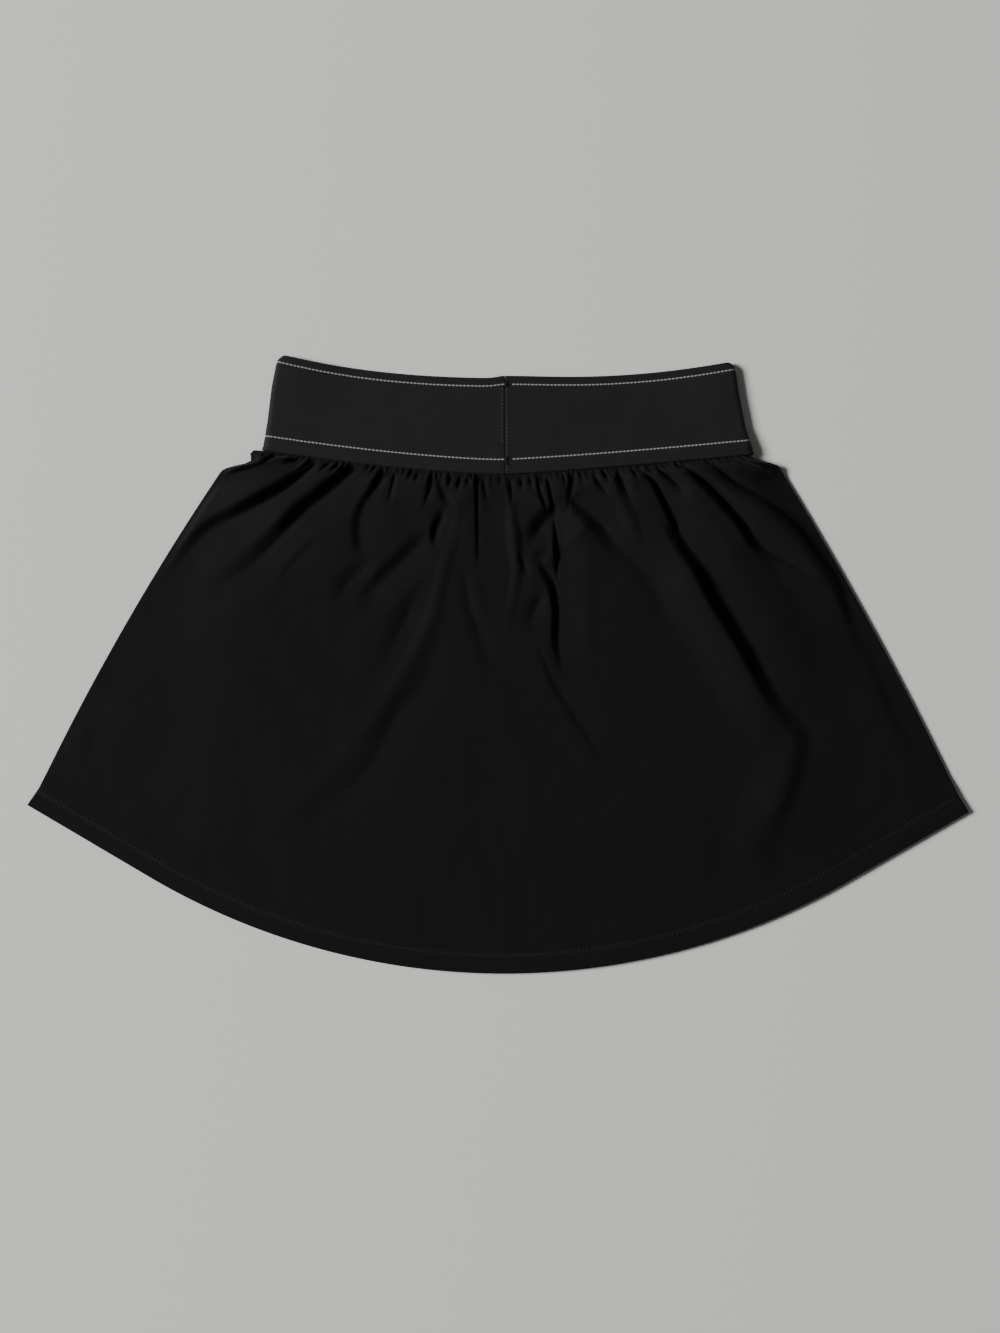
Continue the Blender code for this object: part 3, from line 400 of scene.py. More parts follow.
FRONT_CREASES = (
    Crease("front_left_outer", 8.0, 6.0, 1.3, (1.2, 1.1, 0.0), 0.8,
           ((-112, 130), (-146, 108), (-186, 76), (-214, 30))),
    Crease("front_left_inner", 7.0, 6.0, 1.4, (1.2, 1.1, 0.0), 0.8,
           ((-78, 125), (-92, 92), (-108, 46), (-136, -6))),
    Crease("front_left_long", 9.0, 6.0, 1.4, (1.1, 1.0, 0.0), 0.8,
           ((-40, 120), (-46, 70), (-68, 8), (-92, -70), (-118, -128))),
    Crease("front_middle", 6.0, 6.0, 1.3, (1.2, 1.1, 0.0), 0.8,
           ((-6, 118), (-2, 74), (8, 20), (10, -34))),
    Crease("front_right_long", 6.0, 8.0, 1.5, (1.2, 1.1, 0.0), 0.8,
           ((40, 120), (52, 68), (58, 4), (80, -76))),
    Crease("front_right_inner", 6.0, 6.0, 1.4, (1.1, 1.1, 0.0), 0.8,
           ((84, 124), (100, 84), (128, 36), (148, -20))),
    Crease("front_right_outer", 6.0, 7.0, 1.4, (1.2, 1.1, 0.0), 0.8,
           ((122, 128), (158, 100), (196, 58), (226, 2))),
    Crease("front_hem_left", 9.0, 7.0, 1.0, (0.0, 0.9, 0.0), 0.8,
           ((-176, -40), (-196, -84), (-204, -130))),
    Crease("front_hem_right", 7.0, 9.0, 1.0, (0.0, 0.9, 0.0), 0.8,
           ((150, -62), (164, -108), (170, -148))),
)


@dataclass(frozen=True)
class GatherRun:
    """A run of gathers along the band, uneven from one to the next.

    Each wander is how far a size strays, in millimetres, and how fast, in radians a gather.
    """

    count: int = 42
    first_x: float = -138.0
    pitch: float = 7.0
    depth: float = 1.3
    length: float = 13.0
    x_wander: tuple[float, float] = (1.6, 2.1)
    depth_wander: tuple[float, float] = (0.5, 1.7)
    length_wander: tuple[float, float] = (5.0, 2.9)

    def gathers(self) -> tuple[Gather, ...]:
        """Spaces the gathers from the left to the right.

        Returns:
            The gathers.
        """
        run = []
        for index in range(self.count):
            strays = [far * math.sin(fast * index)
                      for far, fast in (self.x_wander, self.depth_wander, self.length_wander)]
            run.append(Gather(self.first_x + self.pitch * index + strays[0],
                              self.depth + strays[1], self.length + strays[2]))
        return tuple(run)


def gather_creases(gathers: tuple[Gather, ...]) -> tuple[Crease, ...]:
    """The crease of each gather."""
    return tuple(gather.crease(f"gather_{index}") for index, gather in enumerate(gathers))


@dataclass(frozen=True)
class Relief:
    """The creases of one panel, as one height field."""

    creases: tuple[Crease, ...]
    slope_power: float = 1.5
    shoulder_lift: float = 0.25
    shoulder_reach: float = 28.0
    recovery_reach: float = 22.0
    room_share: float = 0.95
    full_depth: float = 2.5

    @staticmethod
    def beside(course: np.ndarray, x: np.ndarray,
               y: np.ndarray) -> tuple[np.ndarray, np.ndarray, np.ndarray]:
        """Finds where points lie beside a course.

        Args:
            course: The course's points, from the waist down.
            x: The points' x.
            y: The points' y.

        Returns:
            The distance to the course, the side, which goes smoothly from 0 on its left to 1 on
            its right round its ends, and the share of its length.
        """
        runs = np.diff(course, axis=0)
        lengths = np.hypot(runs[:, 0], runs[:, 1])
        starts = np.concatenate([[0.0], np.cumsum(lengths)])
        nearest = np.full(x.shape, np.inf)
        side = np.zeros(x.shape)
        along = np.zeros(x.shape)
        for index, (run_x, run_y) in enumerate(runs):
            off_x, off_y = x - course[index, 0], y - course[index, 1]
            share = np.clip((off_x * run_x + off_y * run_y) / lengths[index] ** 2, 0.0, 1.0)
            distance = np.maximum(np.hypot(off_x - share * run_x, off_y - share * run_y), 1e-6)
            turn = (off_y * run_x - off_x * run_y) / (lengths[index] * distance)
            nearer = distance < nearest
            nearest = np.where(nearer, distance, nearest)
            side = np.where(nearer, turn, side)
            here = (starts[index] + share * lengths[index]) / starts[-1]
            along = np.where(nearer, here, along)
        return nearest, smooth_step((side + 1.0) / 2.0), along

    def at(self, x: np.ndarray, y: np.ndarray,
           room: np.ndarray) -> tuple[np.ndarray, np.ndarray]:
        """Reads the relief at points of the panel.

        A trough sinks no further than its share of the room below the cloth. What it lacks in
        depth the cloth on its left stands up, but it fills no other trough.

        Args:
            x: The points' x.
            y: The points' y.
            room: How far the cloth can sink at each point.

        Returns:
            How far the creases raise the cloth at each point, and how far they sink it.
        """
        trough, raised, hollow = (np.zeros(x.shape) for _ in range(3))
        for crease in self.creases:
            course = crease.course()
            reach = crease.spread * max(crease.left, crease.right)
            reach += max(self.shoulder_reach, self.recovery_reach)
            low, high = course.min(axis=0) - reach, course.max(axis=0) + reach
            near = (x > low[0]) & (x < high[0]) & (y > low[1]) & (y < high[1])
            distance, side, along = self.beside(course, x[near], y[near])
            width = crease.left + (crease.right - crease.left) * side
            width = width * (1.0 + (crease.spread - 1.0) * along)
            depth = np.interp(along, np.linspace(0.0, 1.0, len(crease.deep)), crease.deep)
            inside = np.clip(1.0 - distance / width, 0.0, None)
            if min(crease.deep) < 0.0:
                raised[near] = np.maximum(raised[near], -depth * smooth_step(inside))
                continue
            slope = inside**self.slope_power
            regained = smooth_step(1.0 - distance / self.recovery_reach) - slope
            profile = slope + side * (1.0 - crease.wall) * regained
            sunk = np.minimum(depth, self.room_share * room[near])
            trough[near] = np.maximum(trough[near], sunk * profile)
            filled = slope * np.minimum(depth / self.full_depth, 1.0)
            hollow[near] = np.maximum(hollow[near], filled)
            shoulder = smooth_step(1.0 + (width - distance) / self.shoulder_reach)
            shoulder = (1.0 - side) * (1.0 - slope) * shoulder
            lift = np.maximum(depth - sunk, self.shoulder_lift * depth)
            raised[near] = np.maximum(raised[near], lift * shoulder)
        return raised * (1.0 - hollow), trough


# ---------------------------------------------------------------- the garment's cut


@dataclass(frozen=True)
class Layers:
    """Walls of the cloth and the heights at which its layers lie on each other."""

    cloth: float = 1.0
    hem: float = 1.8
    hem_depth: float = 14.0
    band: float = 1.8
    gap: float = 0.3
    tuck_depth: float = 4.0
    tuck_clearance: float = 1.5
    tuck_to_flat: float = 20.0
    front_lift: float = 1.2
    side_clearance: float = 0.25

    @property
    def front_tuck(self) -> float:
        """Underside of the front panel in the waistband."""
        return self.band + self.gap

    @property
    def shorts_tuck(self) -> tuple[float, float]:
        """Undersides of the shorts' front and back in the waistband."""
        front = self.front_tuck + self.cloth + self.gap
        return front, front + self.cloth + self.gap

    @property
    def shorts_flat(self) -> tuple[float, float]:
        """Undersides of the shorts' front and back where they lie flat."""
        front = self.front_lift + self.cloth + self.gap
        return front, front + self.cloth + self.gap

    @property
    def back_tuck(self) -> float:
        """Upper side of the back panel in the waistband."""
        return self.shorts_tuck[1] + 2.0 * self.cloth + self.gap

    @property
    def back_over_shorts(self) -> float:
        """Upper side of the back panel where the shorts lie under it."""
        return self.shorts_flat[1] + 2.0 * self.cloth + self.gap

    @property
    def back_over_front(self) -> float:
        """Upper side of the back panel where only the front panel's creases lie under it."""
        return self.front_lift + 2.0 * self.cloth + self.gap

    @property
    def back_at_hem(self) -> float:
        """Upper side of the back panel's hem."""
        return 2.0 * self.hem + self.gap

    @property
    def back_at_side(self) -> float:
        """Upper side of the back panel at its side seams."""
        return 2.0 * self.cloth + self.gap + self.side_clearance


@dataclass(frozen=True)
class ShortsSection:
    """A line across one half of the shorts, from its inner edge to its side.

    Both x are distances from the garment's middle.
    """

    inner_x: float
    side_x: float
    inner_y: float
    side_y: float


@dataclass(frozen=True)
class ShortsCut:
    """Plan of the inner shorts, and the flat cut of one quarter, its area in square metres."""

    centre_x: float = 4.0
    waist_half_width: float = 146.0
    side_flare: float = 0.25
    cover: float = 2.0
    skirt_margin: float = 60.0
    cut_width: float = 180.0
    cut_length: float = 262.0
    cut_area: float = 0.038
    sections: tuple[ShortsSection, ...] = (
        ShortsSection(0.15, 151.0, 66.0, 78.0),
        ShortsSection(0.15, 165.0, 20.0, 28.0),
        ShortsSection(0.15, 171.0, -34.0, -30.0),
        ShortsSection(3.0, 172.0, -50.0, -44.0),
        ShortsSection(16.0, 176.0, -106.0, -84.0),
    )

    def under(self, x: np.ndarray, y: np.ndarray) -> np.ndarray:
        """1 where the shorts lie under the skirt, falling to 0 a little way outside them."""
        side_x = np.interp(-y, [-s.side_y for s in self.sections],
                           [s.side_x for s in self.sections])
        from_centre = np.abs(x - self.centre_x)
        outside = (from_centre - side_x - self.cover) / self.skirt_margin
        leg = self.sections[-1]
        slope = (leg.side_y - leg.inner_y) / (leg.side_x - leg.inner_x)
        leg_end = leg.inner_y + slope * (from_centre - leg.inner_x)
        below = (leg_end - self.cover - y) / self.skirt_margin
        return (1.0 - smooth_step(outside)) * (1.0 - smooth_step(below))


@dataclass(frozen=True)
class SkirtCut:
    """Plan of a skirt panel as it lies, the same for the front and the back.

    The cut sizes are those of the flat cloth with its seam and hem allowances. cut_area is in
    square metres.
    """

    length: float = 330.0
    waist_left: float = -149.5
    waist_right: float = 164.2
    hem_half_width: float = 310.2
    hem_low_y: float = -204.0
    hem_radius: float = 457.0
    hem_arc_half_width: float = 230.0
    hem_tilt: float = 0.0075
    corner_left: tuple[float, float] = (24.5, 0.037)
    corner_right: tuple[float, float] = (16.5, 0.022)
    corner_end: float = 0.95
    corner_fade: float = 1.9
    corner_power: int = 3
    corner_sharpness: int = 4
    lobe_left: float = 10.0
    lobe_right: float = 1.5
    lobe_power: int = 15
    lobe_lift: float = 0.25
    lobe_start: float = 0.006
    lobe_end: float = 0.015
    lobe_fade: float = 0.018
    cut_waist: float = 430.0
    cut_hem: float = 668.0
    cut_length: float = 352.0
    cut_area: float = 0.189

    def hem_height(self, x: np.ndarray) -> np.ndarray:
        """The hem's y at each x: an arc with a straight run to each corner."""
        reach = np.minimum(np.abs(x), self.hem_arc_half_width)
        arc = self.hem_radius - np.sqrt(self.hem_radius**2 - reach**2)
        return self.hem_low_y + arc + self.end_slope * (np.abs(x) - reach) - self.hem_tilt * x

    @property
    def end_slope(self) -> float:
        """Slope of the hem's straight runs."""
        drop = math.sqrt(self.hem_radius**2 - self.hem_arc_half_width**2)
        return self.hem_arc_half_width / drop

    def seam_x(self, across: np.ndarray) -> np.ndarray:
        """The x on the waist seam at each place across, from -1 to 1."""
        return self.waist_left + (self.waist_right - self.waist_left) * (across + 1.0) / 2.0

    def above_hem(self, x: np.ndarray, y: np.ndarray) -> np.ndarray:
        """Distance of each point from the hem, square to it."""
        reach = np.minimum(np.abs(x), self.hem_arc_half_width)
        slope = reach / np.sqrt(self.hem_radius**2 - reach**2)
        return (y - self.hem_height(x)) / np.hypot(1.0, slope)

    def plan(self, across: np.ndarray, down: np.ndarray) -> tuple[np.ndarray, np.ndarray]:
        """Places points of the panel in plan.

        Args:
            across: From -1 at the left side to 1 at the right.
            down: From 0 at the waist seam to 1 at the hem, and below 0 in the waistband.

        Returns:
            The points' x and y.
        """
        waist_x = self.seam_x(across)
        waist_y = BAND_BOTTOM.height(waist_x)
        hem_x = self.hem_half_width * across
        below = np.clip(down, 0.0, None)
        left = across < 0.0
        size, start = (np.where(left, self.corner_left[i], self.corner_right[i]) for i in (0, 1))
        begun = 1.0 - np.exp(-((below / start) ** self.corner_sharpness))
        corner = size * across**self.corner_power * begun
        corner = corner * np.clip(1.0 - (below / self.corner_end) ** self.corner_fade, 0.0, None)
        lobe = np.where(left, self.lobe_left, self.lobe_right) * across**self.lobe_power
        lobe = lobe * smooth_step(below / self.lobe_start)
        lobe = lobe * (1.0 - smooth_step((below - self.lobe_end) / self.lobe_fade))
        x = waist_x + (hem_x - waist_x) * down + corner + lobe
        y = waist_y + (self.hem_height(hem_x) - waist_y) * down + self.lobe_lift * np.abs(lobe)
        return x, y

    def from_side(self, across: np.ndarray, down: np.ndarray) -> np.ndarray:
        """Distance of each point from the nearer side edge."""
        waist = (self.waist_right - self.waist_left) / 2.0
        return (1.0 - np.abs(across)) * np.interp(down, (0.0, 1.0), (waist, self.hem_half_width))

    def grain(self, across: np.ndarray, down: np.ndarray) -> np.ndarray:
        """Place of each point on the cloth before it was gathered, in metres, as a UV."""
        half = np.interp(down, (0.0, 1.0), (self.cut_waist / 2.0, self.cut_hem / 2.0))
        return np.stack([across * half, -down * self.length], axis=-1) * MM


# ---------------------------------------------------------------- finishes


@dataclass(frozen=True)
class JerseyFinish:
    """Black polyester stretch jersey, circular knitted and piece dyed.

    The knit gives the eye a matt black with a faint bloom at a low angle and fine columns of
    stitches. They are about 0.6 mm apart and are drawn at 1.7 mm, so that they show.
    """

    name: str
    deep_hex: str
    worn_hex: str
    roughness: float = 0.86
    specular: float = 0.22
    sheen: float = 0.05
    sheen_roughness: float = 0.45
    wale_mm: float = 1.7
    course_mm: float = 1.3
    fibre_mm: float = 0.9
    mottle_mm: float = 22.0
    mottle_detail: float = 4.0
    mottle_roughness: float = 0.6
    fibre_detail: float = 2.0
    fibre_roughness: float = 0.7
    relief_mm: float = 0.05
    fibre_share: float = 0.35
    fibre_relief: float = 0.8
    least_blend: float = 0.32
    most_blend: float = 0.68
    roughness_spread: float = 0.06
    row_wander: float = 0.6
    row_detail: float = 1.0
    bump_strength: float = 0.5

    def material(self) -> bpy.types.Material:
        """Builds the material from the cloth's own UV, laid along its grain.

        Returns:
            The new material.
        """
        material, shader = new_material(
            self.name, metallic=0.0, specular_ior_level=self.specular, sheen_weight=self.sheen,
            sheen_roughness=self.sheen_roughness)
        tree = material.node_tree
        place = add_node(tree, "ShaderNodeTexCoord")
        mottle = add_node(tree, "ShaderNodeTexNoise", vector=place.outputs["Object"],
                          scale=1.0 / (self.mottle_mm * MM), detail=self.mottle_detail,
                          roughness=self.mottle_roughness)
        fibre = add_node(tree, "ShaderNodeTexNoise", vector=place.outputs["UV"],
                         scale=1.0 / (self.fibre_mm * MM), detail=self.fibre_detail,
                         roughness=self.fibre_roughness)
        blend = add_node(tree, "ShaderNodeMix", {"data_type": "FLOAT"},
                         input_0=self.fibre_share, input_2=mottle.outputs["Fac"],
                         input_3=fibre.outputs["Fac"])
        spread = add_node(tree, "ShaderNodeMapRange", value=blend.outputs[0],
                          from_min=self.least_blend, from_max=self.most_blend)
        colour = add_node(tree, "ShaderNodeMix", {"data_type": "RGBA"},
                          input_0=spread.outputs[0], input_6=linear_from_hex(self.deep_hex),
                          input_7=linear_from_hex(self.worn_hex))
        tree.links.new(colour.outputs[2], shader.inputs["Base Color"])
        rough = add_node(tree, "ShaderNodeMapRange", value=mottle.outputs["Fac"],
                         to_min=self.roughness - self.roughness_spread,
                         to_max=self.roughness + self.roughness_spread)
        tree.links.new(rough.outputs[0], shader.inputs["Roughness"])
        wales = self.bands(tree, place.outputs["UV"], "X", self.wale_mm)
        courses = self.bands(tree, place.outputs["UV"], "Y", self.course_mm)
        knit = add_node(tree, "ShaderNodeMath", {"operation": "MULTIPLY"},
                        input_0=wales, input_1=courses)
        grain = add_node(tree, "ShaderNodeMath", {"operation": "MULTIPLY_ADD"},
                         input_0=fibre.outputs["Fac"], input_1=self.fibre_relief,
                         input_2=knit.outputs[0])
        bump = add_node(tree, "ShaderNodeBump", height=grain.outputs[0],
                        strength=self.bump_strength, distance=self.relief_mm * MM)
        tree.links.new(bump.outputs[0], shader.inputs["Normal"])
        return material

    def bands(self, tree: bpy.types.NodeTree, place: bpy.types.NodeSocket, direction: str,
              pitch_mm: float) -> bpy.types.NodeSocket:
        """Adds soft bands across the cloth, one for each row of its knit.

        Args:
            tree: The material's tree.
            place: The coordinates that the bands follow, in metres.
            direction: X for the wales or Y for the courses.
            pitch_mm: Distance from band to band.

        Returns:
            The bands' height, from 0 to 1.
        """
        # A wave texture repeats every pi / 10 of its scaled coordinate.
        wave = add_node(tree, "ShaderNodeTexWave", {"bands_direction": direction},
                        vector=place, scale=math.pi / 10.0 / (pitch_mm * MM),
                        distortion=self.row_wander, detail=self.row_detail)
        return wave.outputs["Fac"]


@dataclass(frozen=True)
class ElasticFinish(JerseyFinish):
    """Black elastic in a cover of the same knit, stretched smooth.

    The stretched knit closes its stitches, so that the band looks a shade lighter and smoother
    than the skirt, with faint ribs along it.
    """

    roughness: float = 0.78
    specular: float = 0.3
    sheen: float = 0.08
    wale_mm: float = 1.9
    course_mm: float = 1.5
    mottle_mm: float = 14.0
    relief_mm: float = 0.04


@dataclass(frozen=True)
class ThreadFinish:
    """Polyester sewing thread, spun and dyed: soft, with a fine twist."""

    name: str
    light_hex: str
    dark_hex: str
    roughness: float = 0.6
    specular: float = 0.3
    twist_mm: float = 0.5
    twist_detail: float = 2.0
    relief_mm: float = 0.1
    bump_strength: float = 0.4

    def material(self) -> bpy.types.Material:
        """Builds the material.

        Returns:
            The new material.
        """
        material, shader = new_material(self.name, roughness=self.roughness,
                                        specular_ior_level=self.specular)
        tree = material.node_tree
        place = add_node(tree, "ShaderNodeTexCoord")
        twist = add_node(tree, "ShaderNodeTexNoise", vector=place.outputs["Object"],
                         scale=1.0 / (self.twist_mm * MM), detail=self.twist_detail)
        colour = add_node(tree, "ShaderNodeMix", {"data_type": "RGBA"},
                          input_0=twist.outputs["Fac"], input_6=linear_from_hex(self.dark_hex),
                          input_7=linear_from_hex(self.light_hex))
        tree.links.new(colour.outputs[2], shader.inputs["Base Color"])
        bump = add_node(tree, "ShaderNodeBump", height=twist.outputs["Fac"],
                        strength=self.bump_strength, distance=self.relief_mm * MM)
        tree.links.new(bump.outputs[0], shader.inputs["Normal"])
        return material


# ---------------------------------------------------------------- cloth shells


@dataclass(frozen=True)
class ClothShell:
    """A closed sheet of cloth between two grids of points, in millimetres.

    name is that of the node that it stands for, and grain its UV, in metres.
    """

    name: str
    outer: np.ndarray
    inner: np.ndarray
    grain: np.ndarray

    def piece(self, material: bpy.types.Material) -> bpy.types.Object:
        """Makes the shell's object, with a UV that follows its grain.

        Args:
            material: The finish of the cloth.

        Returns:
            The object, at the origin, with its place in its mesh.
        """
        rows, columns = self.outer.shape[:2]
        points = np.concatenate([self.outer.reshape(-1, 3), self.inner.reshape(-1, 3)]) * MM
        grid = np.arange(rows * columns).reshape(rows, columns)
        under = grid + rows * columns
        face = np.stack([grid[:-1, :-1], grid[1:, :-1], grid[1:, 1:], grid[:-1, 1:]], axis=-1)
        lining = np.stack([under[:-1, :-1], under[:-1, 1:], under[1:, 1:], under[1:, :-1]],
                          axis=-1)
        rim = np.concatenate([grid[:, 0], grid[-1, 1:], grid[-2::-1, -1], grid[0, -2:0:-1]])
        turned = np.roll(rim, -1)
        edge = np.stack([turned, rim, rim + rows * columns, turned + rows * columns], axis=-1)
        faces = np.concatenate([face.reshape(-1, 4), lining.reshape(-1, 4), edge])
        mesh = bpy.data.meshes.new(f"{self.name}_cloth")
        mesh.from_pydata(points.tolist(), [], faces.tolist())
        grain = np.concatenate([self.grain.reshape(-1, 2)] * 2)
        uv = mesh.uv_layers.new(name="grain")
        uv.data.foreach_set("uv", grain[faces.reshape(-1)].astype(np.float32).ravel())
        mesh.materials.append(material)
        mesh.shade_smooth()
        mesh.validate()
        return placed(mesh.name, mesh)


def edge_fall(from_edge: np.ndarray, rounding: float, thinnest: float = 0.12) -> np.ndarray:
    """How much of the wall is left near a rounded edge.

    Args:
        from_edge: Distance from the edge.
        rounding: How far in the edge is rounded.
        thinnest: The share of the wall that is left at the edge itself.

    Returns:
        A share of the wall, which is 1 inside the rounding.
    """
    short = np.clip(1.0 - from_edge / rounding, 0.0, 1.0)
    return np.maximum(np.sqrt(1.0 - short**2), thinnest)


class Face(Enum):
    """The side of the garment that a piece is on."""

    BACK = "back"
    FRONT = "front"


@dataclass(frozen=True)
class Ripple:
    """Low waves that run both ways over the cloth, with crests that wander.

    A length is how far the wave goes in one radian. Each way of running has its length, how far
    its crests wander, in radians, and the length of their wandering.
    """

    x_length: float
    x_wander: float
    x_wander_length: float
    y_length: float
    y_wander: float
    y_wander_length: float

    def at(self, x: np.ndarray, y: np.ndarray) -> np.ndarray:
        """The waves' height at each point, from -1 to 1."""
        along_x = np.sin(x / self.x_length + self.x_wander * np.sin(y / self.x_wander_length))
        along_y = np.sin(y / self.y_length + self.y_wander * np.sin(x / self.y_wander_length))
        return along_x * along_y


@dataclass(frozen=True)
class Puff:
    """How high the loose cloth of the back panel stands, most of all just below the band.

    It comes down again towards the hem, towards the sides and round the centre-back seam.
    """

    height: float = 6.5
    rise: float = 6.0
    reach: float = 310.0
    fade: float = 1.5
    side_at_waist: float = 9.0
    side_below: float = 50.0
    seam_rest_x: float = 9.0
    seam_rest_half_width: float = 34.0
    seam_rest_reach: float = 40.0
    seam_rest_share: float = 0.55

    def lift(self, x: np.ndarray, distance: np.ndarray, free: np.ndarray,
             side: np.ndarray) -> np.ndarray:
        """Works out how high the cloth stands above the layers under it.

        Args:
            x: The points' x.
            distance: How far below the waist seam each point is.
            free: How far each point is from where the band lets go of the cloth.
            side: How far each point is from the nearer side edge.

        Returns:
            The height at each point.
        """
        puff = self.height * smooth_step(free / self.rise)
        puff = puff * np.clip(1.0 - distance / self.reach, 0.0, None) ** self.fade
        wider = (self.side_below - self.side_at_waist) * smooth_step(distance / self.side_below)
        puff = puff * smooth_step(side / (self.side_at_waist + wider))
        at_seam = soft_bump((x - self.seam_rest_x) / self.seam_rest_half_width)
        rest = self.seam_rest_share * at_seam * soft_bump(distance / self.seam_rest_reach)
        return puff * (1.0 - rest)


@dataclass(frozen=True)
class Ruffles:
    """The small gathers that the waist seam leaves at the band's edge."""

    count: int = 84
    before_side: float = 2.0
    pitch: float = 4.1
    pitch_sways: tuple[Sway, ...] = (Sway(0.3, 2.3), Sway(0.25, 0.9))
    height: float = 2.3
    height_sways: tuple[Sway, ...] = (Sway(0.45, 5.1), Sway(0.35, 1.9))
    length: float = 8.5
    length_sways: tuple[Sway, ...] = (Sway(0.4, 3.7, 1.0), Sway(0.3, 1.3))
    roundness: float = 0.7
    valley: float = 0.22
    start: float = 0.3
    rise: float = 1.2
    flat_x: float = 13.0
    flat_reach: float = 30.0
    flat_share: float = 0.8

    def lift(self, place: np.ndarray, distance: np.ndarray, side_x: float) -> np.ndarray:
        """Works out how far the cloth stands up between its gathers.

        Args:
            place: The x on the waist seam from which each point hangs.
            distance: How far below the waist seam each point is.
            side_x: The x of the waist seam's left end.

        Returns:
            The height at each point, a little below 0 in the gathers.
        """
        steps = self.pitch * uneven(np.arange(self.count), self.pitch_sways)
        stops = side_x - self.before_side + np.cumsum(steps)
        index = np.interp(place, stops, np.arange(stops.size))
        whole = np.floor(index)
        tall = self.height * uneven(whole, self.height_sways)
        long = self.length * uneven(whole, self.length_sways)
        quiet = soft_bump((place - self.flat_x) / self.flat_reach)
        tall = tall * (1.0 - self.flat_share * quiet)
        bulge = np.abs(np.sin(math.pi * (index - whole))) ** self.roundness - self.valley
        started = smooth_step((distance - self.start) / self.rise)
        return tall * bulge * started * (1.0 - smooth_step(distance / long))


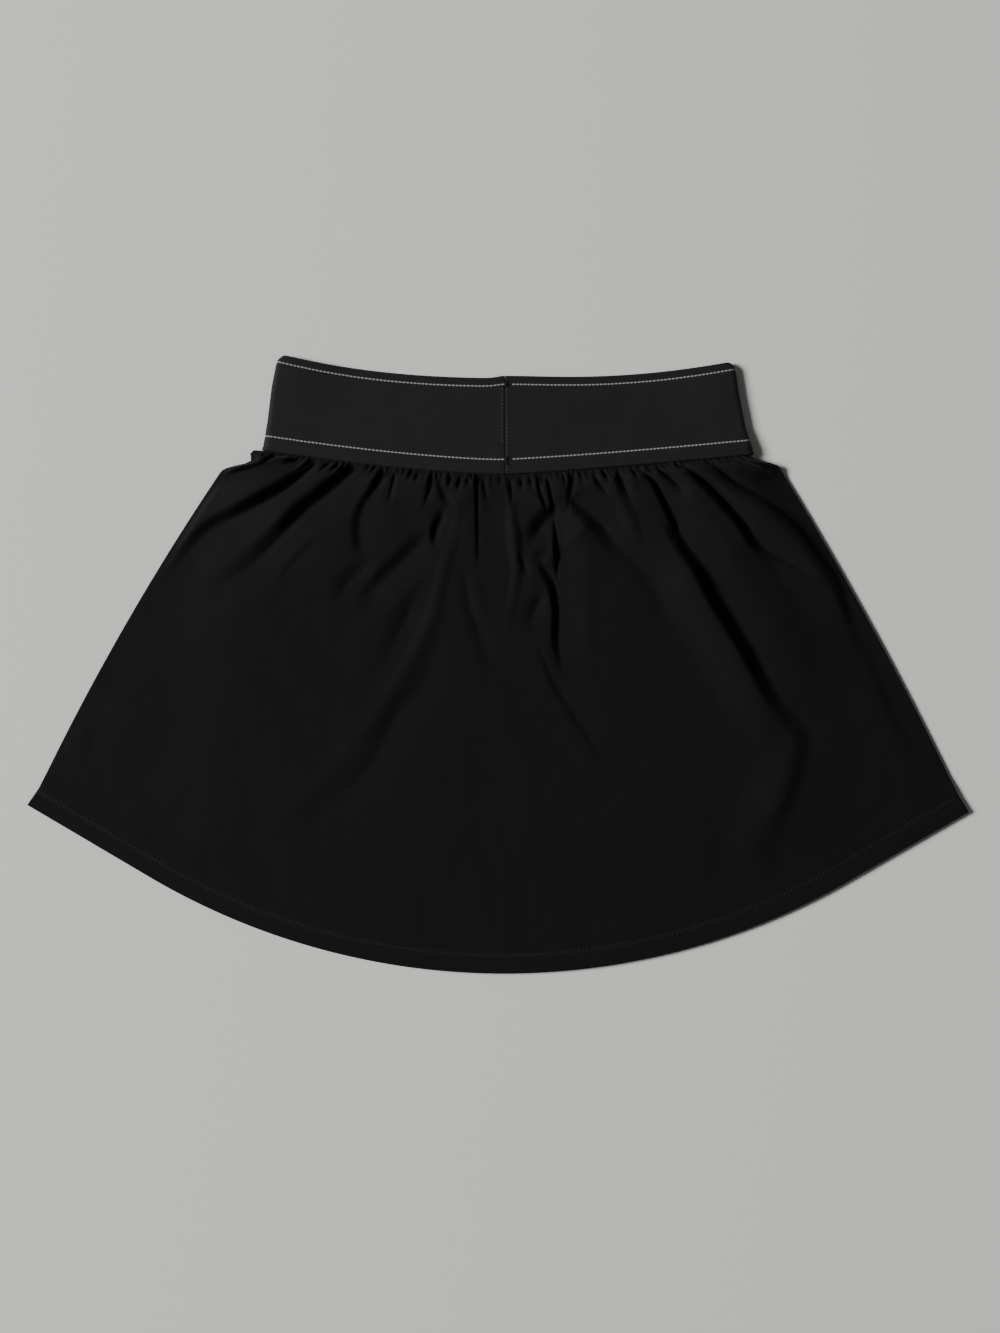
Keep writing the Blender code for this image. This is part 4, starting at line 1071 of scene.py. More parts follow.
@dataclass
class SkirtPanel:
    """One gathered, flared panel of the skirt."""

    face: Face
    relief: Relief
    cut: SkirtCut = field(default_factory=SkirtCut)
    layers: Layers = field(default_factory=Layers)
    shorts: ShortsCut = field(default_factory=ShortsCut)
    puff: Puff = field(default_factory=Puff)
    ruffles: Ruffles = field(default_factory=Ruffles)
    inset: float = 1.0
    columns: int = 400
    rows: int = 98
    row_crowding: float = 1.4
    hem_row_step: float = 1.1
    hem_fine: float = 18.0
    mean_half_share: float = 0.75
    edge_steps: tuple[float, ...] = (0.0, 0.15, 0.5, 1.1)
    edge_rounding: float = 0.8
    hem_step: float = 2.5
    side_rounding: float = 24.0
    side_start: float = 4.0
    crease_start: float = 2.5
    shoulder_start: float = 6.0
    shoulder_side: float = 5.0
    wave_height: float = 0.28
    slow_waves: Ripple = Ripple(13.0, 1.9, 31.0, 17.0, 1.3, 23.0)
    quick_waves: Ripple = Ripple(5.3, 2.1, 11.0, 7.1, 1.7, 9.0)
    quick_share: float = 0.4
    needle_depth: float = 0.22
    needle_half_width: float = 1.6
    needle_gap: float = 4.0
    needle_line: float = 12.0
    row_ends: float = 2.0
    row_step: float = 2.0
    tallest_wall: float = 2.0

    @property
    def name(self) -> str:
        """The name of the node that the panel stands for."""
        return f"skirt_{self.face.value}"

    def waves(self, x: np.ndarray, y: np.ndarray) -> np.ndarray:
        """Low, uneven waves of the resting cloth."""
        quick = self.quick_share * self.quick_waves.at(x, y)
        return self.wave_height * (self.slow_waves.at(x, y) + quick)

    def wall(self, x: np.ndarray, y: np.ndarray) -> np.ndarray:
        """Wall of the panel: cloth, and its turned hem."""
        above = self.cut.above_hem(x, y)
        turned = smooth_step((self.layers.hem_depth - above) / self.hem_step)
        return self.layers.cloth + (self.layers.hem - self.layers.cloth) * turned

    def back_top(self, across: np.ndarray, down: np.ndarray, x: np.ndarray,
                 y: np.ndarray) -> tuple[np.ndarray, np.ndarray]:
        """Works out the height of the back panel's upper side.

        Args:
            across: From -1 at the left side to 1 at the right.
            down: From 0 at the waist seam to 1 at the hem.
            x: The points' x.
            y: The points' y.

        Returns:
            The height at each point, and how low it can lie on the layers under it.
        """
        layers, distance = self.layers, down * self.cut.length
        side = self.cut.from_side(across, down)
        free = distance - layers.tuck_clearance
        lowered = smooth_step(free / layers.tuck_to_flat)
        inside = layers.back_tuck + (layers.back_over_shorts - layers.back_tuck) * lowered
        at_hem = 1.0 - smooth_step(self.cut.above_hem(x, y) / layers.hem_depth - 1.0)
        outside = layers.back_over_front + (layers.back_at_hem - layers.back_over_front) * at_hem
        outside = layers.back_tuck + (outside - layers.back_tuck) * lowered
        lowest = outside + (inside - outside) * self.shorts.under(x, y)
        puff = self.puff.lift(x, distance, free, side)
        raised, trough = self.relief.at(x, y, puff)
        raised = raised * smooth_step(free / self.shoulder_start)
        raised = raised * smooth_step(side / self.shoulder_side)
        trough = trough * smooth_step(free / self.crease_start)
        waves = self.waves(x, y) * smooth_step(free / layers.tuck_to_flat)
        waves = waves * smooth_step(self.cut.above_hem(x, y) / (2.0 * layers.hem_depth))
        ruffles = self.ruffles.lift(self.cut.seam_x(across), distance, self.cut.waist_left)
        puffed = puff + raised - trough + waves + ruffles
        flat = layers.back_at_side + (layers.back_at_hem - layers.back_at_side) * at_hem
        side_height = layers.back_tuck + (flat - layers.back_tuck) * lowered
        base = side_height + (lowest - side_height) * smooth_step(side / self.side_rounding)
        return base + puffed * smooth_step(side / self.side_start), base

    def front_bottom(self, across: np.ndarray, down: np.ndarray, x: np.ndarray,
                     y: np.ndarray) -> np.ndarray:
        """Works out the height of the front panel's lower side, flat but for its creases.

        Args:
            across: From -1 at the left side to 1 at the right.
            down: From 0 at the waist seam to 1 at the hem.
            x: The points' x.
            y: The points' y.

        Returns:
            The height at each point.
        """
        layers, distance = self.layers, down * self.cut.length
        free = distance - layers.tuck_clearance
        lowered = smooth_step(free / layers.tuck_to_flat)
        lying = layers.front_tuck * (1.0 - lowered)
        highest = layers.front_tuck + (layers.front_lift - layers.front_tuck) * lowered
        _, lift = self.relief.at(x, y, highest - lying)
        lift = lift * smooth_step(free / self.crease_start)
        lift = lift * smooth_step(self.cut.from_side(across, down) / self.side_rounding)
        return np.clip(lying + lift, 0.0, highest)

    def needle_grooves(self, x: np.ndarray, y: np.ndarray) -> np.ndarray:
        """Depth of the two grooves that the hem's needle threads pull into the cloth."""
        above = self.cut.above_hem(x, y)
        grooves = np.zeros(x.shape)
        for offset in (-0.5, 0.5):
            line = self.needle_line + offset * self.needle_gap
            grooves = np.maximum(grooves, soft_bump((above - line) / self.needle_half_width))
        return self.needle_depth * grooves

    def lines(self) -> tuple[np.ndarray, np.ndarray]:
        """Spaces the panel's grid, closer at the waist, at the hem and at its edges.

        Returns:
            The columns' places across and the rows' places down.
        """
        middle = self.cut.hem_half_width * self.mean_half_share
        near = np.array(self.edge_steps)
        inner = 1.0 - 2.0 * near[-1] / middle
        run = np.linspace(-inner, inner, self.columns)
        across = np.concatenate([-1.0 + near / middle, run, 1.0 - near[::-1] / middle])
        tuck = self.layers.tuck_depth / self.cut.length
        fine_start = 1.0 - self.hem_fine / self.cut.length
        rows = np.linspace(0.0, 1.0, self.rows) ** self.row_crowding
        upper = -tuck + (fine_start + tuck) * rows
        fine = np.arange(self.hem_fine, 2.0 * near[-1], -self.hem_row_step)[1:]
        lower = 1.0 - np.concatenate([fine, near[::-1]]) / self.cut.length
        return across, np.concatenate([upper, lower])

    def steepness(self, x: np.ndarray, y: np.ndarray, z: np.ndarray) -> np.ndarray:
        """How much taller than thick the wall stands where the cloth slopes.

        Args:
            x: The grid's x.
            y: The grid's y.
            z: The grid's heights.

        Returns:
            1 on level cloth, and up to the steepest wall's share on slopes.
        """
        along, down = (np.stack([np.gradient(part, axis=axis) for part in (x, y, z)], axis=-1)
                       for axis in (1, 0))
        square = np.cross(along, down)
        level = np.abs(square[..., 2]) / np.linalg.norm(square, axis=-1)
        return 1.0 / np.maximum(level, 1.0 / self.tallest_wall)

    def shell(self) -> ClothShell:
        """Works out the panel's upper and lower sides.

        Returns:
            The shell, its outer side up.
        """
        across, down = np.meshgrid(*self.lines())
        x, y = self.cut.plan(across, down)
        wall = self.wall(x, y)
        if self.face is Face.BACK:
            top, lowest = self.back_top(across, down, x, y)
            wall = np.minimum(wall * self.steepness(x, y, top), top - lowest + wall)
            middle = top - wall / 2.0
        else:
            middle = self.front_bottom(across, down, x, y) + wall / 2.0
        from_edge = np.minimum(self.cut.from_side(across, down), self.cut.above_hem(x, y))
        half = wall / 2.0 * edge_fall(from_edge, self.edge_rounding)
        groove = self.needle_grooves(x, y)
        sunk_top = groove if self.face is Face.BACK else 0.0
        sunk_under = groove if self.face is Face.FRONT else 0.0
        plan = np.stack([x, y], axis=-1) * self.inset
        top = np.concatenate([plan, (middle + half - sunk_top)[..., None]], axis=-1)
        under = np.concatenate([plan, (middle - half + sunk_under)[..., None]], axis=-1)
        return ClothShell(self.name, top, under, self.cut.grain(across, down))

    def hem_path(self, above: float) -> np.ndarray:
        """Runs a line along the hem.

        Args:
            above: Distance of the line from the hem's edge.

        Returns:
            The line's points in plan, from the left to the right.
        """
        half = (self.cut.hem_half_width - self.row_ends) * self.inset
        x = np.arange(-half, half, self.row_step)
        y = self.cut.hem_height(x)
        slope = np.gradient(y, x)
        square = np.hypot(1.0, slope)
        inward = np.stack([-slope / square, 1.0 / square], axis=-1)
        return np.stack([x, y], axis=-1) * self.inset + inward * above


# ---------------------------------------------------------------- waistband


@dataclass(frozen=True)
class BandSection:
    """One level of the waistband, from its bottom edge (0) to its top edge (1)."""

    level: float
    left: float
    right: float
    side_thickness: float
    middle_thickness: float


@dataclass(frozen=True)
class SeamRow:
    """A row of stitches along the centre-back seam, between two levels of the waistband.

    offset is how far to the right of the seam it runs, sink how deep its thread lies in the band,
    and length that of each stitch, where they lie square to the seam.
    """

    offset: float
    low: float
    high: float
    sink: float = 0.0
    length: float = 0.0


@dataclass
class Waistband:
    """The elastic waistband: one strip bent into a flattened ring, joined at the centre back."""

    layers: Layers = field(default_factory=Layers)
    cut_length: float = 650.0
    height: float = 64.0
    seam_x: float = SEAM_X
    hollow_reach: float = 0.35
    back_steps: int = 96
    fold_steps: int = 18
    front_steps: int = 150
    level_steps: int = 44
    edge_steps: tuple[float, ...] = (0.0, 0.2, 0.6, 1.2)
    rolled_steps: tuple[float, ...] = (1.8, 2.3, 2.8, 3.3, 3.8, 4.3)
    plain_from: float = 5.2
    plain_to: float = 2.2
    edge_rounding: float = 0.9
    seam_rounding: float = 0.7
    seam_columns: tuple[float, ...] = (0.0, 0.1, 0.25, 0.5, 0.9)
    top_line: float = 5.6
    bottom_line: float = 9.6
    groove_half_width: float = 1.7
    groove_depth: float = 0.3
    bead_height: float = 0.35
    bead_width: float = 1.6
    rolled_line: float = 3.0
    rolled_half_width: float = 1.0
    rolled_share: float = 0.7
    thread_sink: float = 0.15
    front_sink: float = 0.42
    row_start: float = 4.0
    level_rounds: int = 3
    seam_rise: float = 1.5
    seam_rise_left: float = 7.0
    seam_rise_right: float = 42.0
    seam_points: int = 60
    beside_seam: float = 1e-4
    rung_pitch: float = 2.2
    ladder: tuple[SeamRow, ...] = (
        SeamRow(-1.8, 0.34, 0.86, 0.1, 1.9),
        SeamRow(1.7, 0.05, 0.50, 0.1, 1.8),
        SeamRow(1.3, 0.52, 0.86, 0.1, 1.3),
    )
    closing: SeamRow = SeamRow(0.0, 0.02, 0.98, 0.7)
    tacks: tuple[SeamRow, ...] = (
        SeamRow(1.0, 0.885, 0.95),
        SeamRow(1.2, 0.09, 0.18),
    )
    sections: tuple[BandSection, ...] = (
        BandSection(0.00, -155.5, 168.6, 9.1, 9.1),
        BandSection(0.09, -154.2, 167.4, 9.1, 9.1),
        BandSection(0.30, -152.0, 163.2, 7.4, 7.0),
        BandSection(0.65, -149.3, 159.0, 7.2, 5.6),
        BandSection(0.93, -145.8, 156.4, 7.1, 4.8),
        BandSection(1.00, -141.5, 152.8, 6.8, 4.6),
    )

    def size_at(self, level: np.ndarray, size: str) -> np.ndarray:
        """One size of the band at each level, from its sections."""
        levels = [section.level for section in self.sections]
        return np.interp(level, levels, [getattr(section, size) for section in self.sections])

    def stations(self) -> tuple[np.ndarray, np.ndarray]:
        """Stops round the band, from the seam to the right, over the front and back to it.

        Returns:
            The share of the way from the seam to a side, negative to the left, and the turn of
            the wall, a quarter turn up on the back and a quarter turn down on the front.
        """
        quarter = math.pi / 2.0
        half = self.size_at(0.5, "right") - self.seam_x
        near = np.array(self.seam_columns) / half
        run = np.concatenate([
            near, np.linspace(2.0 * near[-1], 1.0, self.back_steps, endpoint=False)])
        fold = np.linspace(quarter, -quarter, self.fold_steps, endpoint=False)
        front = np.linspace(1.0, -1.0, self.front_steps)
        share = np.concatenate([run, np.ones(fold.size), front, -np.ones(fold.size), -run[::-1]])
        turn = np.concatenate([
            np.full(run.size, quarter), fold, np.full(front.size, -quarter), fold[::-1],
            np.full(run.size, quarter),
        ])
        return share, turn

    def on_wall(self, share: np.ndarray, turn: np.ndarray, level: np.ndarray,
                out: np.ndarray) -> np.ndarray:
        """Places points on or beside the middle of the band's wall.

        Args:
            share: As stations gives it.
            turn: As stations gives it.
            level: From 0 at the band's bottom edge to 1 at its top edge.
            out: Distance outwards from the middle of the wall.

        Returns:
            The points, with x, y and z along the last axis.
        """
        wall = self.layers.band
        side_radius = (self.size_at(level, "side_thickness") - wall) / 2.0
        inset = wall / 2.0 + side_radius
        right = self.size_at(level, "right") - inset
        left = self.size_at(level, "left") + inset
        is_right = share + 0.0 * turn > 0.0
        side = np.where(is_right, 1.0, -1.0)
        x = self.seam_x + np.abs(share) * (np.where(is_right, right, left) - self.seam_x)
        x = x + side * (side_radius + out) * np.cos(turn)
        middle = self.size_at(level, "middle_thickness") - 2.0 * inset
        hollow = smooth_step((1.0 - np.abs(share)) / self.hollow_reach)
        radius = side_radius + middle / 2.0 * hollow
        z = wall / 2.0 + radius + (radius + out) * np.sin(turn)
        reach = np.where(is_right, self.seam_rise_right, self.seam_rise_left)
        rise = self.seam_rise * np.exp(-(((x - self.seam_x) / reach) ** 2))
        bottom, top = BAND_BOTTOM.height(x), BAND_TOP.height(x) + rise * (turn > 0.0)
        return np.stack([x, bottom + (top - bottom) * level, z], axis=-1)

    def height_at(self, x: np.ndarray) -> np.ndarray:
        """How tall the band is at each x."""
        return BAND_TOP.height(x) - BAND_BOTTOM.height(x)

    def shell(self) -> ClothShell:
        """Works out the band's outer and inner sides.

        Returns:
            The shell, from its top edge down and from the seam to the right.
        """
        share, turn = self.stations()
        edge = np.array(self.edge_steps) / self.height
        plain = np.linspace(self.plain_from / self.height, 1.0 - self.plain_to / self.height,
                            self.level_steps)
        level = np.concatenate([edge, np.array(self.rolled_steps) / self.height, plain,
                                1.0 - edge[::-1]])[::-1]
        share, level = np.meshgrid(share, level)
        turn = np.broadcast_to(turn, share.shape)
        centre = self.on_wall(share, turn, level, np.zeros(share.shape))
        tall = self.height_at(centre[..., 0])
        from_bottom, from_top = level * tall, (1.0 - level) * tall
        groove = soft_bump((from_bottom - self.bottom_line) / self.groove_half_width)
        groove = np.maximum(groove, soft_bump((from_top - self.top_line) / self.groove_half_width))
        crease = soft_bump((from_bottom - self.rolled_line) / self.rolled_half_width)
        groove = np.maximum(groove, self.rolled_share * crease)
        bead = soft_bump((from_bottom - self.bead_width / 2.0) / self.bead_width)
        half = self.layers.band / 2.0 * edge_fall(np.minimum(from_bottom, from_top),
                                                  self.edge_rounding)
        from_seam = np.abs(centre[..., 0] - self.seam_x)
        from_seam = np.where(turn > 0.0, from_seam, np.inf)
        half = half * edge_fall(from_seam, self.seam_rounding)
        out = half - self.groove_depth * groove + self.bead_height * (bead - 1.0) / 2.0
        outer = self.on_wall(share, turn, level, out)
        inner = self.on_wall(share, turn, level, -half)
        gap = self.layers.gap / 2.0
        for side in (outer, inner):
            side[:, 0, 0] += gap
            side[:, -1, 0] -= gap
        run = np.hypot(np.diff(centre[..., 0], axis=1), np.diff(centre[..., 2], axis=1))
        around = np.concatenate([np.zeros((level.shape[0], 1)), np.cumsum(run, axis=1)], axis=1)
        grain = np.stack([from_bottom, around], axis=-1) * MM
        return ClothShell("waistband", outer, inner, grain)

    def stitch_line(self, from_bottom: float | None, from_top: float | None) -> np.ndarray:
        """Runs a line of stitching round the band, broken at the centre-back seam.

        Args:
            from_bottom: Distance from the bottom edge, or None.
            from_top: Distance from the top edge, or None.

        Returns:
            The line's points. On the front it lies deeper, so that no thread is below z = 0.
        """
        share, turn = self.stations()
        level = np.full(share.shape, 0.5)
        # The band's height changes along it, so the level settles in a few rounds.
        for _ in range(self.level_rounds):
            tall = self.height_at(self.on_wall(share, turn, level, 0.0 * share)[..., 0])
            level = from_bottom / tall if from_top is None else 1.0 - from_top / tall
        deeper = self.front_sink - self.thread_sink
        sunk = self.thread_sink + deeper * (1.0 - np.sin(turn)) / 2.0
        line = self.on_wall(share, turn, level, self.layers.band / 2.0 - sunk)
        start = (turn > 0.0) & (share >= 0.0) & (line[:, 0] < self.seam_x + self.row_start)
        return line[~start]

    def seam_line(self, row: SeamRow) -> np.ndarray:
        """Runs a line along the centre-back seam.

        Args:
            row: The row of stitches.

        Returns:
            The line's points.
        """
        level = np.linspace(row.low, row.high, self.seam_points)
        share = np.full(level.shape, self.beside_seam)
        turn = np.full(level.shape, math.pi / 2.0)
        out = np.full(level.shape, self.layers.band / 2.0 - row.sink)
        line = self.on_wall(share, turn, level, out)
        line[:, 0] += row.offset
        return line

    def seam_rungs(self, row: SeamRow) -> np.ndarray:
        """Runs short stitches square to the centre-back seam, one above the other.

        Args:
            row: The row of stitches, whose offset is that of their middles.

        Returns:
            The two ends of each stitch, stitch by stitch.
        """
        line = self.seam_line(row)
        run = np.hypot(*(line[-1] - line[0])[:2])
        count = max(2, round(run / self.rung_pitch))
        places = np.linspace(0.0, len(line) - 1.0, count)
        middles = np.stack([np.interp(places, np.arange(len(line)), part) for part in line.T],
                           axis=-1)
        reach = np.array((row.length / 2.0, 0.0, 0.0))
        return np.stack([middles - reach, middles + reach], axis=1).reshape(-1, 3)


# ---------------------------------------------------------------- inner shorts


@dataclass
class ShortsPanel:
    """One quarter of the inner shorts, from the waistband to the leg's hem."""

    face: Face
    side: int
    cut: ShortsCut = field(default_factory=ShortsCut)
    layers: Layers = field(default_factory=Layers)
    columns: int = 60
    row_step: float = 4.0
    edge_steps: tuple[float, ...] = (0.0, 0.15, 0.5, 1.1)
    edge_rounding: float = 0.5
    hem_line: float = 18.0
    hem_row_ends: float = 0.02
    hem_points: int = 80
    hem_lift: float = -0.05

    @property
    def name(self) -> str:
        """The name of the node that the panel stands for."""
        hand = "left" if self.side < 0 else "right"
        return f"shorts_{self.face.value}_{hand}"

    def outline(self) -> list[tuple[float, float, float, float, float]]:
        """Lists lines across the panel, from the waist to the leg's hem.

        Returns:
            For each line its x at the inner edge and at the side, counted from the garment's
            middle, its y at both, and the height of its underside.
        """
        back = self.face is Face.BACK
        tuck, flat = self.layers.shorts_tuck[back], self.layers.shorts_flat[back]
        seam_rows = ((-self.layers.tuck_depth, tuck), (self.layers.tuck_clearance, tuck),
                     (self.layers.tuck_clearance + self.layers.tuck_to_flat, flat))
        inner = self.layers.gap / 2.0
        lines = []
        for below, height in seam_rows:
            reach = self.cut.waist_half_width + self.cut.side_flare * max(below, 0.0) + inner
            ends = [float(BAND_BOTTOM.height(np.array(self.cut.centre_x + self.side * x))) - below
                    for x in (inner, reach)]
            lines.append((inner, reach, ends[0], ends[1], height))
        for section in self.cut.sections:
            lines.append((section.inner_x, section.side_x, section.inner_y, section.side_y, flat))
        return lines

    def shell(self) -> ClothShell:
        """Works out the panel's upper and lower sides.

        Returns:
            The shell, its outer side up.
        """
        lines = np.array(self.outline())
        length = np.concatenate([[0.0], np.cumsum(-np.diff(lines[:, 2:4].mean(axis=1)))])
        near = np.array(self.edge_steps)
        total = length[-1]
        rows = np.concatenate([
            np.arange(0.0, total - 2.0 * near[-1], self.row_step), total - near[::-1]])
        wide = self.cut.waist_half_width
        inner_columns = np.linspace(2.0 * near[-1] / wide, 1.0 - 2.0 * near[-1] / wide,
                                    self.columns)
        share = np.concatenate([near / wide, inner_columns, 1.0 - near[::-1] / wide])
        if self.side < 0:
            share = share[::-1]
        inner_x, side_x, inner_y, side_y, height = (
            np.interp(rows, length, lines[:, column])[:, None] for column in range(5))
        reach = inner_x + (side_x - inner_x) * share
        x = self.cut.centre_x + self.side * reach
        # The lines at the waist follow the band's edge, and those of the sections are straight.
        y = inner_y + (side_y - inner_y) * share
        sag = BAND_BOTTOM.height(x) - BAND_BOTTOM.height(x[:, :1])
        straight = BAND_BOTTOM.height(x[:, -1:]) - BAND_BOTTOM.height(x[:, :1])
        straight = straight * (x - x[:, :1]) / (x[:, -1:] - x[:, :1])
        first_section = len(lines) - len(self.cut.sections)
        at_waist = 1.0 - smooth_step(rows / length[first_section])[:, None]
        y = y + (sag - straight) * at_waist
        from_edge = np.minimum((total - rows)[:, None] + 0.0 * x,
                               np.minimum(share, 1.0 - share) * wide)
        half = self.layers.cloth / 2.0 * edge_fall(from_edge, self.edge_rounding)
        middle = height + self.layers.cloth / 2.0 + 0.0 * x
        top = np.stack([x, y, middle + half], axis=-1)
        under = np.stack([x, y, middle - half], axis=-1)
        grain = np.stack([x, -rows[:, None] + 0.0 * x], axis=-1) * MM
        return ClothShell(self.name, top, under, grain)

    def hem_path(self) -> np.ndarray:
        """The line of stitching above the leg's hem, in plan."""
        leg = self.cut.sections[-1]
        share = np.linspace(self.hem_row_ends, 1.0 - self.hem_row_ends, self.hem_points)
        x = self.cut.centre_x + self.side * (leg.inner_x + (leg.side_x - leg.inner_x) * share)
        y = leg.inner_y + (leg.side_y - leg.inner_y) * share + self.hem_line
        return np.stack([x, y], axis=-1)


# ---------------------------------------------------------------- sewing


@dataclass(frozen=True)
class StitchStyle:
    """Sizes of one kind of stitch.

    pitch is the step from needle hole to needle hole and share the part of it that the thread
    shows. swing is how far every other hole lies to either side of the line. A style that is
    paired takes its path's points two by two, a stitch for each pair.
    """

    pitch: float
    share: float
    width: float
    height: float
    unevenness: float
    seed: int
    swing: float = 0.0
    paired: bool = False


class Stitch(Enum):
    """The kinds of stitch on the garment."""

    TOPSTITCH = StitchStyle(pitch=2.5, share=1.08, width=1.15, height=0.75, unevenness=0.04,
                            seed=3)
    NEEDLE_ROW = StitchStyle(pitch=2.6, share=0.84, width=0.55, height=0.45, unevenness=0.05,
                             seed=5)
    CROSSING = StitchStyle(pitch=1.3, share=0.92, width=0.42, height=0.34, unevenness=0.08,
                           seed=8, swing=1.9)
    RUNG = StitchStyle(pitch=1.0, share=1.0, width=0.75, height=0.45, unevenness=0.2, seed=13,
                       paired=True)
    CLOSING = StitchStyle(pitch=2.0, share=1.05, width=0.6, height=0.4, unevenness=0.03, seed=17)
    BAR_TACK = StitchStyle(pitch=0.5, share=1.0, width=0.5, height=0.5, unevenness=0.1, seed=21,
                           swing=1.7)


@dataclass(frozen=True)
class HemRow:
    """One row of a skirt hem's stitching.

    place is where the row runs, from -0.5 on the lower needle's line to 0.5 on the upper one's.
    The lifts are how far its thread stands off the back panel's face and the front panel's.
    """

    place: float
    stitch: Stitch
    back_lift: float
    front_lift: float


HEM_ROWS = (
    HemRow(-0.5, Stitch.NEEDLE_ROW, 0.02, -0.08),
    HemRow(0.5, Stitch.NEEDLE_ROW, 0.02, -0.08),
    HemRow(0.0, Stitch.CROSSING, -0.05, -0.23),
)


@dataclass
class Sewing:
    """Lays stitches along seams with one Geometry Nodes tree."""

    stitch_sides: int = 8
    stitch_rings: int = 6
    scatter: tuple[float, float, float] = (1.0, 1.0, 0.3)
    tree: bpy.types.NodeTree = field(init=False)

    def __post_init__(self) -> None:
        """Builds the tree that every seam uses."""
        tree = bpy.data.node_groups.new("stitches_along_seam", "GeometryNodeTree")
        self.tree = tree
        tree.interface.new_socket("Path", in_out="INPUT", socket_type="NodeSocketGeometry")
        for name in ("Pitch", "Share", "Width", "Height", "Swing", "Unevenness"):
            tree.interface.new_socket(name, in_out="INPUT", socket_type="NodeSocketFloat")
        tree.interface.new_socket("Seed", in_out="INPUT", socket_type="NodeSocketInt")
        tree.interface.new_socket("Thread", in_out="INPUT", socket_type="NodeSocketMaterial")
        tree.interface.new_socket("Stitches", in_out="OUTPUT", socket_type="NodeSocketGeometry")
        given = add_node(tree, "NodeGroupInput").outputs
        line = add_node(tree, "GeometryNodeMeshToCurve", mesh=given["Path"])
        holes = add_node(tree, "GeometryNodeResampleCurve", {"mode": "LENGTH"},
                         curve=line.outputs[0], length=given["Pitch"])
        moved = add_node(tree, "GeometryNodeSetPosition", geometry=holes.outputs[0],
                         offset=self.hole_offset(given))
        thread = add_node(tree, "GeometryNodeCurveToMesh", curve=moved.outputs[0])
        ends = add_node(tree, "GeometryNodeInputMeshEdgeVertices")
        run = add_node(tree, "ShaderNodeVectorMath", {"operation": "SUBTRACT"},
                       input_0=ends.outputs["Position 2"], input_1=ends.outputs["Position 1"])
        kept = tree.nodes.new("GeometryNodeCaptureAttribute")
        kept.domain = "EDGE"
        kept.capture_items.new("VECTOR", "Run")
        tree.links.new(thread.outputs[0], kept.inputs["Geometry"])
        tree.links.new(run.outputs[0], kept.inputs["Run"])
        middles = add_node(tree, "GeometryNodeMeshToPoints", {"mode": "EDGES"},
                           mesh=kept.outputs["Geometry"])
        turn = add_node(tree, "FunctionNodeAlignRotationToVector", {"axis": "X"},
                        vector=kept.outputs["Run"])
        level = add_node(tree, "FunctionNodeAlignRotationToVector",
                         {"axis": "Z", "pivot_axis": "X"}, rotation=turn.outputs[0],
                         vector=(0.0, 0.0, 1.0))
        length = add_node(tree, "ShaderNodeVectorMath", {"operation": "LENGTH"},
                          input_0=kept.outputs["Run"])
        shown = add_node(tree, "ShaderNodeMath", {"operation": "MULTIPLY"},
                         input_0=length.outputs["Value"], input_1=given["Share"])
        size = add_node(tree, "ShaderNodeCombineXYZ", x=shown.outputs[0], y=given["Width"],
                        z=given["Height"])
        grain = add_node(tree, "GeometryNodeMeshUVSphere", segments=self.stitch_sides,
                         rings=self.stitch_rings, radius=0.5)
        laid = add_node(tree, "GeometryNodeInstanceOnPoints", points=middles.outputs[0],
                        instance=grain.outputs["Mesh"], rotation=level.outputs[0],
                        scale=size.outputs[0])
        real = add_node(tree, "GeometryNodeRealizeInstances", geometry=laid.outputs[0])
        smooth = add_node(tree, "GeometryNodeSetShadeSmooth", input_0=real.outputs[0])
        dyed = add_node(tree, "GeometryNodeSetMaterial", geometry=smooth.outputs[0],
                        material=given["Thread"])
        tree.links.new(dyed.outputs[0], add_node(tree, "NodeGroupOutput").inputs[0])

    def hole_offset(self, given: bpy.types.NodeOutputs) -> bpy.types.NodeSocket:
        """Adds the nodes that move each needle hole off its line.

        Args:
            given: The tree's inputs.

        Returns:
            The offset of each hole.
        """
        tree = self.tree
        along = add_node(tree, "GeometryNodeInputTangent")
        side = add_node(tree, "ShaderNodeVectorMath", {"operation": "CROSS_PRODUCT"},
                        input_0=along.outputs[0], input_1=(0.0, 0.0, 1.0))
        index = add_node(tree, "GeometryNodeInputIndex")
        odd = add_node(tree, "ShaderNodeMath", {"operation": "MODULO"},
                       input_0=index.outputs[0], input_1=2.0)
        sign = add_node(tree, "ShaderNodeMath", {"operation": "MULTIPLY_ADD"},
                        input_0=odd.outputs[0], input_1=2.0, input_2=-1.0)
        reach = add_node(tree, "ShaderNodeMath", {"operation": "MULTIPLY"},
                         input_0=sign.outputs[0], input_1=given["Swing"])
        swung = add_node(tree, "ShaderNodeVectorMath", {"operation": "SCALE"},
                         input_0=side.outputs[0], scale=reach.outputs[0])
        chance = add_node(tree, "FunctionNodeRandomValue", {"data_type": "FLOAT_VECTOR"},
                          input_0=tuple(-far for far in self.scatter),
                          input_1=self.scatter, seed=given["Seed"])
        strayed = add_node(tree, "ShaderNodeVectorMath", {"operation": "SCALE"},
                           input_0=chance.outputs[0], scale=given["Unevenness"])
        both = add_node(tree, "ShaderNodeVectorMath", {"operation": "ADD"},
                        input_0=swung.outputs[0], input_1=strayed.outputs[0])
        return both.outputs[0]

